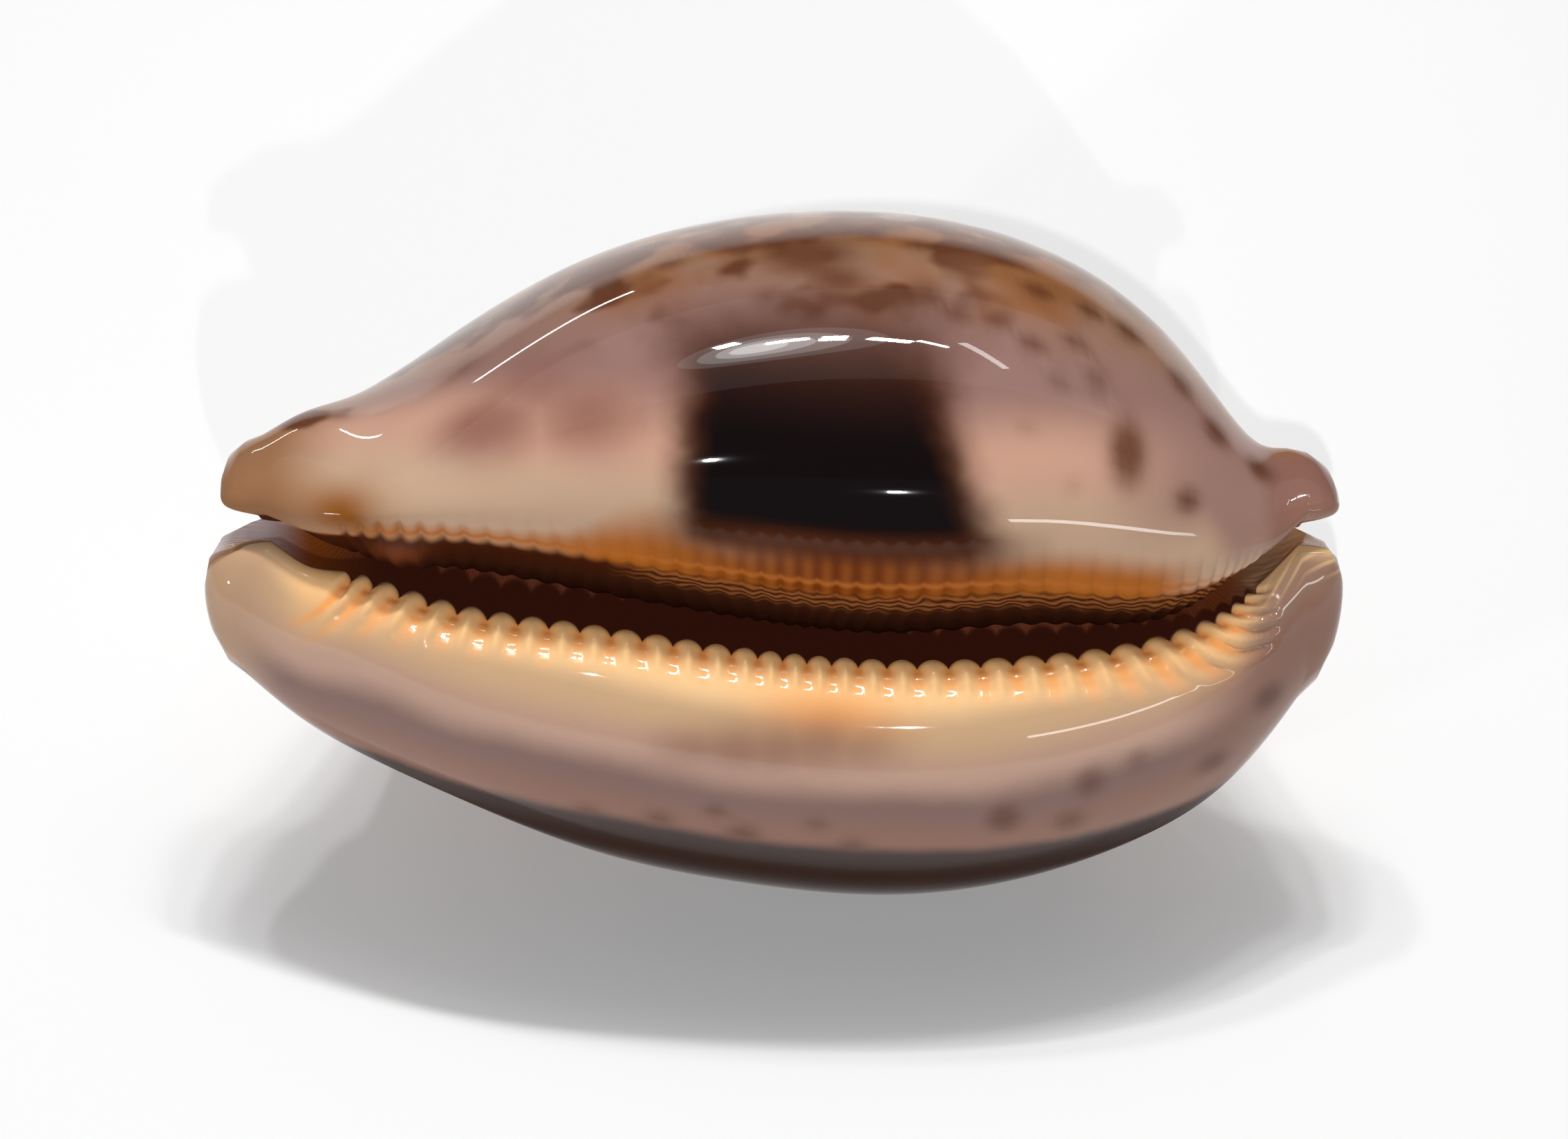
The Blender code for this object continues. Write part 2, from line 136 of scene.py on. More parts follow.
class Section:
    """The measures of every cross-section, as arrays over the places along the length.

    Control points are (across, height) in millimetres, given as shares of these measures.
    """

    def __init__(self, size: ShellProfile, along: np.ndarray) -> None:
        """Read every profile at the places along the length.

        Args:
            size: the sizes of the shell.
            along: places along the length.
        """
        self.lab, self.col, self.base, self.wide, self.dorsum, self.lab_edge, self.col_edge = (
            natural_spline(size.stations, values, along) for values in (
                size.labral_reach, size.columellar_reach, size.base_height, size.widest_height,
                size.dorsum_height, size.labral_edge, size.columellar_edge))
        self.size = np.clip((self.base - self.dorsum) / size.section_height, size.smallest_section, 1.0)
        self.canal = canal = ease(size.canal_start, size.canal_full, np.abs(along))
        self.wall = size.wall * (1.0 - size.canal_wall_loss * canal)
        self.lip = size.lip_thickness + (size.canal_lip_thickness - size.lip_thickness) * canal
        self.curl_reach = self.size * (1.0 - canal) + size.canal_curl_reach * canal
        self.curl_thick = self.lip * (1.0 - canal) + size.canal_curl_thickness * canal
        self.curl_nudge = size.canal_curl_nudge * canal
        self.middle = (self.col - self.lab) / 2.0
        self.side, self.dome = self.base - self.wide, self.wide - self.dorsum
        self.lab_base, self.col_base = self.lab + self.lab_edge, self.col - self.col_edge
        self.channel = np.maximum((self.col_edge - self.lab_edge) / 2.0, size.channel_half_width)

    def outside(self) -> list:
        """Control points outside, from the labral lip over the dorsum to the columellar lip.

        Returns:
            15 control points, each an array over the places.
        """
        lab, col, middle, size = self.lab, self.col, self.middle, self.size
        base, wide, side, dome = self.base, self.wide, self.side, self.dome
        return [
            (self.lab_edge - 1.3 * size, base - 0.9 * size),
            (self.lab_edge - 0.30 * self.lab_base, base + 0.55 * size),
            (0.3 * self.lab_edge - 0.70 * lab, base - 0.16 * side),
            (-0.985 * lab, wide + 0.42 * side), (-1.02 * lab, wide - 0.16 * dome),
            (0.07 * middle - 0.86 * lab, wide - 0.60 * dome),
            (0.27 * middle - 0.47 * lab, wide - 0.955 * dome),
            (0.50 * middle + 0.02 * col, wide - 1.06 * dome),
            (0.27 * middle + 0.50 * col, wide - 0.945 * dome),
            (0.07 * middle + 0.87 * col, wide - 0.59 * dome),
            (1.02 * col, wide - 0.14 * dome), (0.97 * col, wide + 0.46 * side),
            (self.col_edge + 0.66 * self.col_base, base - 0.12 * side),
            (self.col_edge + 0.30 * self.col_base, base + 0.75 * size),
            (self.col_edge + 0.5 * size, base - 0.4 * size)]

    def hollow(self) -> list:
        """Control points inside the belly: the outside's, each moved in by the wall, lip or size.

        Returns:
            15 control points that face the outside ones.
        """
        wall, lip, size = self.wall, self.lip, self.size
        moves = [(-0.3 * size, -lip), (-0.02 * self.lab_base, -0.85 * size - 1.02 * lip),
                 (0.3 * wall, -0.95 * lip), (1.35 * wall, -0.9 * wall), (wall, 0.0),
                 (0.85 * wall, 0.45 * wall), (0.4 * wall, 0.9 * wall), (0.0, wall),
                 (-0.4 * wall, 0.9 * wall), (-0.85 * wall, 0.45 * wall), (-wall, 0.0),
                 (-1.3 * wall, -0.9 * wall), (-0.3 * wall, -0.85 * lip),
                 (0.02 * self.col_base, -0.65 * size - 0.85 * lip), (2.1 * size, 0.1 * size - 0.95 * lip)]
        return [(a + across, b + up) for (a, b), (across, up) in zip(self.outside(), moves)]

    def narrow(self) -> list:
        """Control points of the narrow channel at both canals: down one side, across, up the other.

        Returns:
            15 control points that face the outside ones at the canals.
        """
        middle = (self.lab_edge + self.col_edge) / 2.0
        floor = (self.wide + self.dorsum) / 2.0 + 1.5
        top = self.base - 1.6
        deep = self.base - 1.2 - floor
        down = [(middle - self.channel * (1.05 - 0.05 * k), top - deep * k / 5.0) for k in range(5)]
        bottom = [(middle + self.channel * k / 2.6, floor - 0.1 * (3 - abs(k))) for k in range(-2, 3)]
        return down + bottom + [(2.0 * middle - across, height) for across, height in down[::-1]]

    def curl(self) -> tuple[list, list, tuple]:
        """Columellar wall curling in below its lip: its face, its back and its free edge.

        Returns:
            Four control points of the face, four of the back, and the edge.
        """
        top = self.base - 0.4 * self.size
        edge, reach, thick, nudge = self.col_edge, self.curl_reach, self.curl_thick, self.curl_nudge
        face = [(edge - a * reach, top - b * reach)
                for a, b in ((2.0, 2.8), (6.2, 7.6), (7.4, 13.1), (4.6, 17.8))]
        back = [(edge - a * reach + nudge, top - thick - b * reach)
                for a, b in ((-1.2, 1.8), (3.2, 4.4), (4.8, 7.8), (2.8, 10.2))]
        return face, back, (edge - 1.6 * reach, top - 18.2 * reach)


@dataclass(frozen=True)
class LoopRows:
    """Rows round the section loop: place u of each, and how coarse each is along the length.

    u is 0 on the labral lip's edge, 15 on the columellar tooth line, 20 on the curl's free edge,
    and goes back along the inside to 40.
    """

    loop: int = 40
    curl_edge: int = 20
    tooth_line: float = 15.0
    outside_zones: tuple = ((0.0, 0.8, 9, 1), (0.8, 2.0, 17, 1), (2.0, 3.4, 13, 1), (3.4, 13.6, 66, 4),
                            (13.6, 14.4, 8, 1), (14.4, 15.6, 18, 1), (15.6, 17.6, 16, 1),
                            (17.6, 20.0, 10, 4))
    inner_lip: float = 38.6
    coarse: int = 4

    def places(self) -> tuple[np.ndarray, np.ndarray]:
        """Place and stride of every row, the inside mirroring the outside.

        Returns:
            Place and stride of each row.
        """
        outer = np.concatenate([np.linspace(a, b, n, endpoint=False) for a, b, n, _ in self.outside_zones])
        stride = np.concatenate([np.full(n, s) for _, _, n, s in self.outside_zones])
        outer = np.append(outer, float(self.curl_edge))
        stride = np.append(stride, self.coarse)
        inner = self.loop - outer[-2:0:-1]
        inner_stride = np.where(inner >= self.inner_lip, 1, self.coarse)
        return np.concatenate([outer, inner]), np.concatenate([stride, inner_stride])

    def weights(self, rows: np.ndarray) -> tuple[np.ndarray, np.ndarray]:
        """Periodic cubic B-spline weights of the control points, and their rates, at each row.

        Args:
            rows: places round the loop.

        Returns:
            Weights and rates, each (rows, control points).
        """
        start = np.floor(rows).astype(int)
        t = rows - start
        parts = ((1 - t) ** 3, 3 * t ** 3 - 6 * t ** 2 + 4, -3 * t ** 3 + 3 * t ** 2 + 3 * t + 1, t ** 3)
        slopes = (-3 * (1 - t) ** 2, 9 * t ** 2 - 12 * t, -9 * t ** 2 + 6 * t + 3, 3 * t ** 2)
        weights = np.zeros((len(rows), self.loop))
        rates = np.zeros((len(rows), self.loop))
        for k in range(4):
            column = (start - 1 + k) % self.loop
            weights[np.arange(len(rows)), column] += parts[k] / 6.0
            rates[np.arange(len(rows)), column] += slopes[k] / 6.0
        return weights, rates


@dataclass(frozen=True)
class ToothRelief:
    """Ridges on both lips: depths, lengths and the zones that they fade over, in millimetres.

    Zones along the shell are places, those of the columellar side are rows round the loop.
    """

    labral_groove: float = 0.62
    labral_front_groove: float = 0.2
    ridge_length: float = 2.9
    outer_share: float = 0.62
    ramp_slope: float = 0.38
    edge_roundness: float = 0.6
    crest_narrowing: float = 4.5
    left_ridge_growth: float = 1.6
    right_ridge_growth: float = 1.8
    slant: float = 1.1
    columellar_ratio: float = 4.0 / 3.0
    columellar_groove: float = 0.24
    columellar_front_groove: float = 0.3
    zone: float = 0.8
    curl_groove: float = 0.16
    fold_height: float = 1.0
    far_end: float = 31.0
    toothed_left: Span = (-29.2, -27.2)
    toothless_right: Span = (31.0, 32.5)
    front: Span = (-8.0, -22.0)
    crest_zone: Span = (0.3, 1.6)
    outer_zone: Span = (0.3, 1.5)
    inner_fade: Span = (0.8, 3.0)
    columellar_front: Span = (-23.6, 4.2)
    curl_start: Span = (15.3, 15.9)
    curl_stop: Span = (17.0, 19.0)
    fold_place: Span = (-22.8, 2.4)
    fold_row: Span = (16.2, 0.7)
    fold_lean: float = 0.5
    wander: float = 0.35
    wander_rates: Span = (1.7, 0.55)


class ShellWall:
    """The whole wall as one closed surface over places along the length and rows round the loop.

    Each section is a periodic cubic B-spline through 40 control points: a sheet of 19 outer and inner
    pairs, the labral lip's tip and the curl's free edge. The sheet's thickness folds to nothing at
    both ends along a quarter circle, which makes the rounded canal rims.
    """

    rim_steps, canal_steps, tooth_steps, pairs = 12, (48, 28), 14, 19

    def __init__(self, size: ShellProfile, rows: LoopRows, relief: ToothRelief) -> None:
        """Work out the grid of points, its normals and the ways measured over it.

        Args:
            size: the sizes of the shell.
            rows: the rows round the loop.
            relief: the ridges on the lips.
        """
        self.size, self.loop, self.relief = size, rows, relief
        self.rows, self.stride = rows.places()
        self.along, self.fullness = self.stations()
        self.number = self.tooth_number(self.along)
        self.weights, self.rates = rows.weights(self.rows)
        net = self.control_net()
        self.plain = np.einsum("jn,inc->ijc", self.weights, net)
        across = np.einsum("jn,inc->ijc", self.rates, net)
        normal = np.cross(across, np.gradient(self.plain, axis=0))
        self.normal = normal / np.maximum(np.linalg.norm(normal, axis=-1, keepdims=True), 1e-9)
        self.way = self.girth()
        self.points = self.plain - self.normal * self.depth()[..., None]

    def stations(self) -> tuple[np.ndarray, np.ndarray]:
        """Place along the length and fullness of the wall at every step: rim, canal, teeth, canal, rim.

        Returns:
            Places and fullness, one for each step.
        """
        full = self.size.half_length - self.size.rim_rounding
        turn = np.linspace(math.pi / 2.0, 0.0, self.rim_steps, endpoint=False)
        turn_right = np.linspace(0.0, math.pi / 2.0, self.rim_steps + 1)
        left = np.linspace(-full, self.size.tooth_places[0], self.canal_steps[0], endpoint=False)
        count = self.size.tooth_count * self.tooth_steps
        teeth = natural_spline(self.size.tooth_numbers, self.size.tooth_places,
                               np.linspace(0.0, self.size.tooth_count, count, endpoint=False))
        right = np.linspace(self.size.tooth_places[-1], full, self.canal_steps[1], endpoint=False)
        rounding = self.size.rim_rounding
        along = np.concatenate([-full - rounding * np.sin(turn), left, teeth, right,
                                full + rounding * np.sin(turn_right)])
        fullness = np.concatenate([np.cos(turn), np.ones(len(left) + len(teeth) + len(right)),
                                   np.cos(turn_right)])
        return along, fullness

    def set_back(self) -> np.ndarray:
        """How far each control pair stands back from the ends: a squared-sine notch between the beaks.

        The corner is pair 0, the notch lies between pairs 2.5 and 11.5, the beak begins at pair 8, pair
        14 is the columellar lip's edge, and the curl starts at pair 15.

        Returns:
            Millimetres over (places, control pairs).
        """
        size = self.size
        pair = np.arange(self.pairs)
        notch = size.notch_depth * np.sin(math.pi * np.clip((pair - 2.5) / 9.0, 0.0, 1.0)) ** 2
        notch[14] = size.lip_edge_setback
        notch[15:] = size.curl_setback
        beak = ease(8.0, 12.0, pair)
        corner = 1.0 - ease(0.0, 1.4, pair)
        left = self.along < 0.0
        beak_retreat = np.where(left, size.left_beak_retreat, size.right_beak_retreat)
        corner_retreat = np.where(left, size.left_corner_retreat, size.right_corner_retreat)
        near_end = ease(size.half_length / 1.5, size.half_length, np.abs(self.along))
        return near_end[:, None] * (notch + np.outer(beak_retreat, beak) + np.outer(corner_retreat, corner))

    def control_net(self) -> np.ndarray:
        """Control points (places, 40, 3): outside and inside stand half the fullness off their middle.

        Returns:
            The control points in millimetres.
        """
        section = Section(self.size, self.along)
        face, back, edge = section.curl()
        canal = section.canal

        def stacked(points: list) -> np.ndarray:
            """A list of section points as one array (places, points, 2)."""
            return np.stack([np.stack([a + 0.0 * canal, b + 0.0 * canal], axis=-1) for a, b in points], 1)

        outside = stacked(section.outside() + face)
        hollow = [(a[0] + (b[0] - a[0]) * canal, a[1] + (b[1] - a[1]) * canal)
                  for a, b in zip(section.hollow(), section.narrow())]
        inside = stacked(hollow + back)
        tip = stacked([(section.lab_edge + 0.75 * section.size,
                        section.base - 0.45 * section.lip - section.size)])
        full = self.fullness[:, None, None]
        middle = (outside + inside) / 2.0
        half = (outside - inside) / 2.0 * full
        first = middle[:, :1] + (tip - middle[:, :1]) * full
        last = middle[:, -1:] + (stacked([edge]) - middle[:, -1:]) * full
        loop = np.concatenate([first, middle + half, last, (middle - half)[:, ::-1]], axis=1)
        place = self.along[:, None] - np.sign(self.along)[:, None] * self.set_back()
        place = np.concatenate([place[:, :1], place, place[:, -1:], place[:, ::-1]], axis=1)
        return np.concatenate([place[..., None], loop], axis=-1)

    def tooth_number(self, along: np.ndarray) -> np.ndarray:
        """Labral tooth number, as a real number, at a place along the length.

        Args:
            along: places along the length.

        Returns:
            Tooth numbers of the same shape.
        """
        fine = np.linspace(0.0, self.size.tooth_count, 20 * self.size.tooth_count + 1)
        places = natural_spline(self.size.tooth_numbers, self.size.tooth_places, fine)
        return np.interp(along, places, fine)

    def girth(self) -> np.ndarray:
        """Way round each loop from the labral lip's edge: chord lengths between rows summed up."""
        gaps = np.linalg.norm(np.diff(self.plain, axis=1), axis=-1)
        return np.concatenate([np.zeros((len(self.along), 1)), np.cumsum(gaps, axis=1)], axis=1)

    def column(self, place: float) -> int:
        """The row nearest a place round the loop."""
        return int(np.argmin(np.abs(self.rows - place)))

    def labral_way(self) -> np.ndarray:
        """Millimetres outward from the labral lip's edge, negative on its inside."""
        whole = self.way[:, -1:] + np.linalg.norm(self.plain[:, -1] - self.plain[:, 0], axis=-1)[:, None]
        return np.where(self.rows[None] <= self.loop.curl_edge, self.way, self.way - whole)

    def columellar_way(self) -> np.ndarray:
        """Millimetres outward from the columellar tooth line, negative down the curl."""
        return self.way[:, self.column(self.loop.tooth_line)][:, None] - self.way

    def slanted_number(self) -> np.ndarray:
        """Labral tooth number with the ridges leaning outward towards both ends."""
        lean = self.relief.slant * (self.along / self.relief.far_end) ** 3
        return self.tooth_number(self.along[:, None] - lean[:, None] * np.maximum(self.labral_way(), 0.0))

    def depth(self) -> np.ndarray:
        """Depth of the relief: one less the absolute cosine of the tooth number, faded off the lips.

        Outward from the labral edge the valleys are shallower, and end in a short even ramp.

        Returns:
            Millimetres below the plain surface, over (places, rows).
        """
        relief = self.relief
        along, rows, number = self.along[:, None], self.rows[None], self.number[:, None]
        toothed = ease(*relief.toothed_left, along) * (1.0 - ease(*relief.toothless_right, along))
        way = self.labral_way()
        narrowing = relief.edge_roundness + relief.crest_narrowing * ease(*relief.crest_zone, way)
        labral = 1.0 - np.abs(np.cos(math.pi * self.slanted_number())) ** narrowing
        growth = np.where(along < 0.0, relief.left_ridge_growth, relief.right_ridge_growth)
        length = relief.ridge_length + growth * (along / relief.far_end) ** 2
        shallow = 1.0 - (1.0 - relief.outer_share) * ease(*relief.outer_zone, way)
        groove = relief.labral_groove + relief.labral_front_groove * ease(*relief.front, along)
        outward = np.minimum(shallow * groove, relief.ramp_slope * np.maximum(length - way, 0.0))
        inward = (1.0 - ease(*relief.inner_fade, -way)) * groove
        labral = labral * np.where(way > 0.0, outward, inward)
        finer = relief.columellar_ratio * number
        columellar = 1.0 - np.abs(np.cos(math.pi * finer)) ** relief.edge_roundness
        front = swell(*relief.columellar_front, along)
        strength = relief.columellar_groove + relief.columellar_front_groove * front
        off_line = np.abs(rows - self.loop.tooth_line)
        columellar = columellar * strength * (1.0 - ease(0.25 * relief.zone, relief.zone, off_line))
        down = ease(*relief.curl_start, rows) * (1.0 - ease(*relief.curl_stop, rows)) \
            * (rows < self.loop.curl_edge)
        by_row, by_tooth = relief.wander_rates
        wander = relief.wander * np.sin(by_row * rows + by_tooth * number)
        curl = 0.5 - 0.5 * np.cos(2.0 * math.pi * (finer + wander))
        leaning = along + relief.fold_lean * (rows - self.loop.tooth_line - 1.0)
        fold = swell(*relief.fold_place, leaning) * swell(*relief.fold_row, rows)
        return (toothed * (labral + columellar + relief.curl_groove * curl * down)
                - relief.fold_height * fold) * self.fullness[:, None]


@dataclass(frozen=True)
class PhotoView:
    """Where the shell was seen from: the camera's place and aim, and its pixel scale."""

    lean: float = math.radians(26.0)
    lens: float = 85.0
    sensor: float = 36.0
    scale: float = 23.4
    right: float = 0.64
    up: float = 7.35

    @property
    def elevation(self) -> float:
        """Angle of the view above the floor."""
        return BASE_TILT + self.lean

    @property
    def focal(self) -> float:
        """Focal length in pixels."""
        return self.lens / self.sensor * PHOTO_WIDTH

    def axes(self) -> tuple[np.ndarray, np.ndarray]:
        """Direction from the shell to the camera, and the direction up in the picture."""
        high, flat = math.sin(self.elevation), math.cos(self.elevation)
        return np.array((0.0, -flat, high)), np.array((0.0, high, flat))

    def place(self, origin: np.ndarray) -> tuple[np.ndarray, np.ndarray]:
        """Camera place and the point it aims at, from the section origin, all in metres.

        Args:
            origin: the section origin.

        Returns:
            The two places.
        """
        back, up = self.axes()
        place = origin + back * self.focal / self.scale * MM
        return place, origin + (np.array((self.right, 0.0, 0.0)) + up * self.up) * MM

    def project(self, points: np.ndarray, origin: np.ndarray) -> tuple[np.ndarray, np.ndarray]:
        """Pixels of points: offsets along the picture's axes over depth, times the focal length.

        Args:
            points: places in metres, (..., 3).
            origin: the section origin in metres.

        Returns:
            Pixels (..., 2) in the photograph's frame, and the unit direction the camera looks in.
        """
        place, aim = self.place(origin)
        look = (aim - place) / np.linalg.norm(aim - place)
        side = np.cross(look, (0.0, 0.0, 1.0))
        side /= np.linalg.norm(side)
        above = np.cross(side, look)
        offset = points - place
        far = offset @ look
        across = PHOTO_WIDTH / 2.0 + self.focal * (offset @ side) / far
        down = PHOTO_HEIGHT / 2.0 - self.focal * (offset @ above) / far
        return np.stack([across, down], axis=-1), look


class LaidShell:
    """The wall laid on its side in the frame: turned, fitted into the solid's box, flat underneath."""

    def __init__(self, wall: ShellWall, view: PhotoView) -> None:
        """Place the wall's points where the solid is.

        World y is across times sin(tilt) less height times cos(tilt), and z is across times cos(tilt)
        plus height times sin(tilt). Each side is then scaled by the small share that the smooth wall
        stands proud of the facets.

        Args:
            wall: the whole wall.
            view: where the shell was seen from.
        """
        self.wall, self.view = wall, view
        high, flat = math.sin(BASE_TILT), math.cos(BASE_TILT)
        self.turn = np.array(((1.0, 0.0, 0.0), (0.0, high, -flat), (0.0, flat, high)))
        turned = wall.points @ self.turn.T * MM
        low, top = (np.array(corner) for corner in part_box(NODE))
        least, most = turned.min(axis=(0, 1)), turned.max(axis=(0, 1))
        grow = (top - low) / (most - least)
        grow[2] = (grow[0] + grow[1]) / 2.0
        self.points = top - (most - turned) * grow
        self.points[..., 2] = np.maximum(self.points[..., 2], low[2])
        self.origin = top - most * grow
        self.normal = wall.normal @ self.turn.T
        self.pixels, self.look = view.project(self.points, self.origin)

    def find(self, pixels: Sequence[Pixel]) -> tuple[np.ndarray, np.ndarray]:
        """Steps and rows of the outside points, turned to the camera, that lie nearest to pixels.

        Args:
            pixels: places in the photograph's frame.

        Returns:
            Step and row numbers, one for each pixel.
        """
        outside = self.wall.rows <= self.wall.loop.tooth_line + 1.0
        seen = (self.normal @ self.look < 0.0) & outside[None]
        flat = self.pixels[seen]
        step, row = np.nonzero(seen)
        gaps = np.linalg.norm(flat[None] - np.array(pixels, dtype=float)[:, None], axis=-1)
        nearest = gaps.argmin(axis=1)
        return step[nearest], row[nearest]


@dataclass(frozen=True)
class Spot:
    """A soft spot: its pixels in the photograph, its two radii in millimetres and its strength."""

    x: float
    y: float
    along: float
    across: float
    strength: float = 1.0


def spots(text: str) -> tuple[Spot, ...]:
    """Spots from rows of numbers: x, y, radius along, radius across, strength."""
    return tuple(Spot(*map(float, row.split())) for row in text.split(","))


@dataclass(frozen=True)
class Markings:
    """Where the colours lie: places in the photograph's frame, and zones by rows, ways and shares."""

    blotch: tuple = ((1002, 620), (1008, 540), (1022, 470), (1060, 425), (1130, 400), (1220, 398),
                     (1290, 425), (1330, 480), (1344, 540), (1352, 590), (1364, 640), (1384, 690),
                     (1408, 740), (1420, 778), (1400, 806), (1330, 806), (1240, 800), (1150, 792),
                     (1060, 780), (1010, 762), (1000, 700))
    brown_spots: tuple = spots(
        "967 387 1.1 0.9 .7,1015 353 1.3 0.9 .8,934 420 0.9 0.9 .4,1084 383 1.0 1.0 .4,"
        "1110 433 1.0 0.9 .6,1168 368 2.6 2.0 1,1215 400 1.8 1.6 .8,1256 343 1.3 1.1 .8,"
        "1332 357 1.0 0.9 .8,1397 341 1.0 0.9 .8,1455 378 1.1 1.0 .8,1336 433 1.3 1.1 .9,"
        "1382 467 1.1 0.9 .7,1442 464 1.0 0.8 .6,1505 416 1.1 1.0 .9,1576 446 1.0 0.9 .9,"
        "1633 479 1.2 1.0 .9,1492 506 1.0 0.8 .7,1551 498 1.0 0.8 .7,1532 563 0.9 0.9 .5,"
        "1586 548 0.9 1.2 .6,1706 556 1.1 1.0 .9,1633 647 1.1 1.9 1,1760 626 1.2 1.0 .9,"
        "1823 676 1.0 0.9 .9,1718 726 0.9 0.8 .8,1486 624 0.9 0.9 .35,1553 697 0.9 0.9 .3,"
        "790 415 1.4 0.8 .6,845 385 1.5 0.8 .7,880 400 1.2 0.9 .6,670 530 1.6 1.2 .5,"
        "1452 1181 1.1 1.1 .9,1576 1128 1.0 1.2 .7,1547 1191 1.1 1.0 .7,1644 1096 0.9 0.9 .5,"
        "1837 1009 1.1 1.0 .9,1755 1104 1.3 1.0 .8,851 1168 1.0 .7 .6,953 1180 1.0 .8 .7,"
        "1033 1178 .9 .7 .6,1075 1207 1.1 .8 .8,1182 1195 .9 .8 .5,1232 1218 1.0 .8 .6")
    smudges: tuple = spots("1010 1080 3.0 1.6 .6,1070 1081 3.4 1.8 .7,1125 1082 3.4 1.8 .7,"
                           "1180 1081 3.4 1.8 .7,1240 1078 3.0 1.6 .6,700 612 3.6 2.2 1,850 594 3.2 2.4 .9,"
                           "765 562 4.0 2.2 .7,930 570 2.2 2.0 .5")
    beak_spot: tuple = spots("492 741 2.4 1.5 1,504 748 1.7 1.2 1")
    softness: float = 1.7
    curl_band: Span = (0.15, 0.5)
    # rows where the curl takes the hollow's painted shade and painted glow
    curl_painted_shade: Span = (18.0, 19.5)
    inner_lip: Span = (-0.3, -2.4)
    off_lip: Span = (0.46, 0.58)
    back_up: Span = (0.38, 0.60)
    back_out: Span = (0.50, 0.62)
    mantle_share: float = 0.86
    mantle_waves: tuple = ((0.08, 7.0, 0.0), (0.04, 2.6, 1.0))
    no_mantle: float = 9.0

    def soft(self, laid: LaidShell, marks: Sequence[Spot]) -> np.ndarray:
        """Spot cover over the grid: each spot a bell of its two scaled distances, the greatest kept.

        Args:
            laid: the shell in its place.
            marks: the spots.

        Returns:
            Cover from 0 to 1 over (places, rows), on the side that is turned to the camera.
        """
        wall = laid.wall
        step, row = laid.find([(mark.x, mark.y) for mark in marks])
        cover = np.zeros(wall.plain.shape[:2])
        centre = wall.plain[step, row]
        for k, mark in enumerate(marks):
            gap = np.linalg.norm(wall.plain - centre[k], axis=-1)
            lengthwise = wall.plain[..., 0] - centre[k, 0]
            sideways = np.sqrt(np.maximum(gap ** 2 - lengthwise ** 2, 0.0))
            bell = np.exp(-((lengthwise / mark.along) ** 2 + (sideways / mark.across) ** 2) / self.softness)
            cover = np.maximum(cover, mark.strength * bell)
        return cover

    @staticmethod
    def fenced(laid: LaidShell, outline: Sequence[Pixel]) -> np.ndarray:
        """Signed distance inside an outline, in millimetres, over place along and columellar way.

        The distance is the least to any side of the outline's polygon, and its sign comes from the
        count of sides that a level line crosses.

        Args:
            laid: the shell in its place.
            outline: pixels in the photograph's frame.

        Returns:
            Distances over (places, rows), negative outside.
        """
        wall = laid.wall
        step, row = laid.find(outline)
        way = wall.columellar_way()
        corners = np.stack([wall.plain[step, row, 0], way[step, row]], axis=-1)
        point = np.stack([wall.plain[..., 0], way], axis=-1)
        nearest = np.full(way.shape, np.inf)
        crossed = np.zeros(way.shape, dtype=bool)
        for a, b in zip(corners, np.roll(corners, -1, axis=0)):
            side = b - a
            share = np.clip(((point - a) @ side) / (side @ side), 0.0, 1.0)
            nearest = np.minimum(nearest, np.linalg.norm(point - a - share[..., None] * side, axis=-1))
            spans = (a[1] > point[..., 1]) != (b[1] > point[..., 1])
            rise = side[1] if abs(side[1]) > 1e-9 else 1e-9
            crossed ^= spans & (point[..., 0] < a[0] + (point[..., 1] - a[1]) * side[0] / rise)
        return np.where(crossed, nearest, -nearest)


class Finish(Enum):
    """Names of the finishes."""

    GLAZE = "cowrie_glaze"
    FLOOR = "pale_floor"


def tone(red: float, green: float, blue: float) -> Colour:
    """A colour given in display values from 0 to 255, as linear light.

    Args:
        red: the red value.
        green: the green value.
        blue: the blue value.

    Returns:
        The colour with full cover.
    """
    def linear(value: float) -> float:
        """One display value as linear light."""
        share = value / 255.0
        return share / 12.92 if share <= 0.04045 else ((share + 0.055) / 1.055) ** 2.4
    return linear(red), linear(green), linear(blue), 1.0


def operator(name: str, reflected: bool = False) -> Callable[["Wire", Any], "Wire"]:
    """A method for one sign of arithmetic: a Math node of the wire and the other value.

    Args:
        name: the node's operation.
        reflected: whether the other value comes first.

    Returns:
        The method.
    """
    def method(wire: "Wire", other: Any) -> "Wire":
        """The node's result."""
        return wire.maths(name, other, wire) if reflected else wire.maths(name, wire, other)
    return method


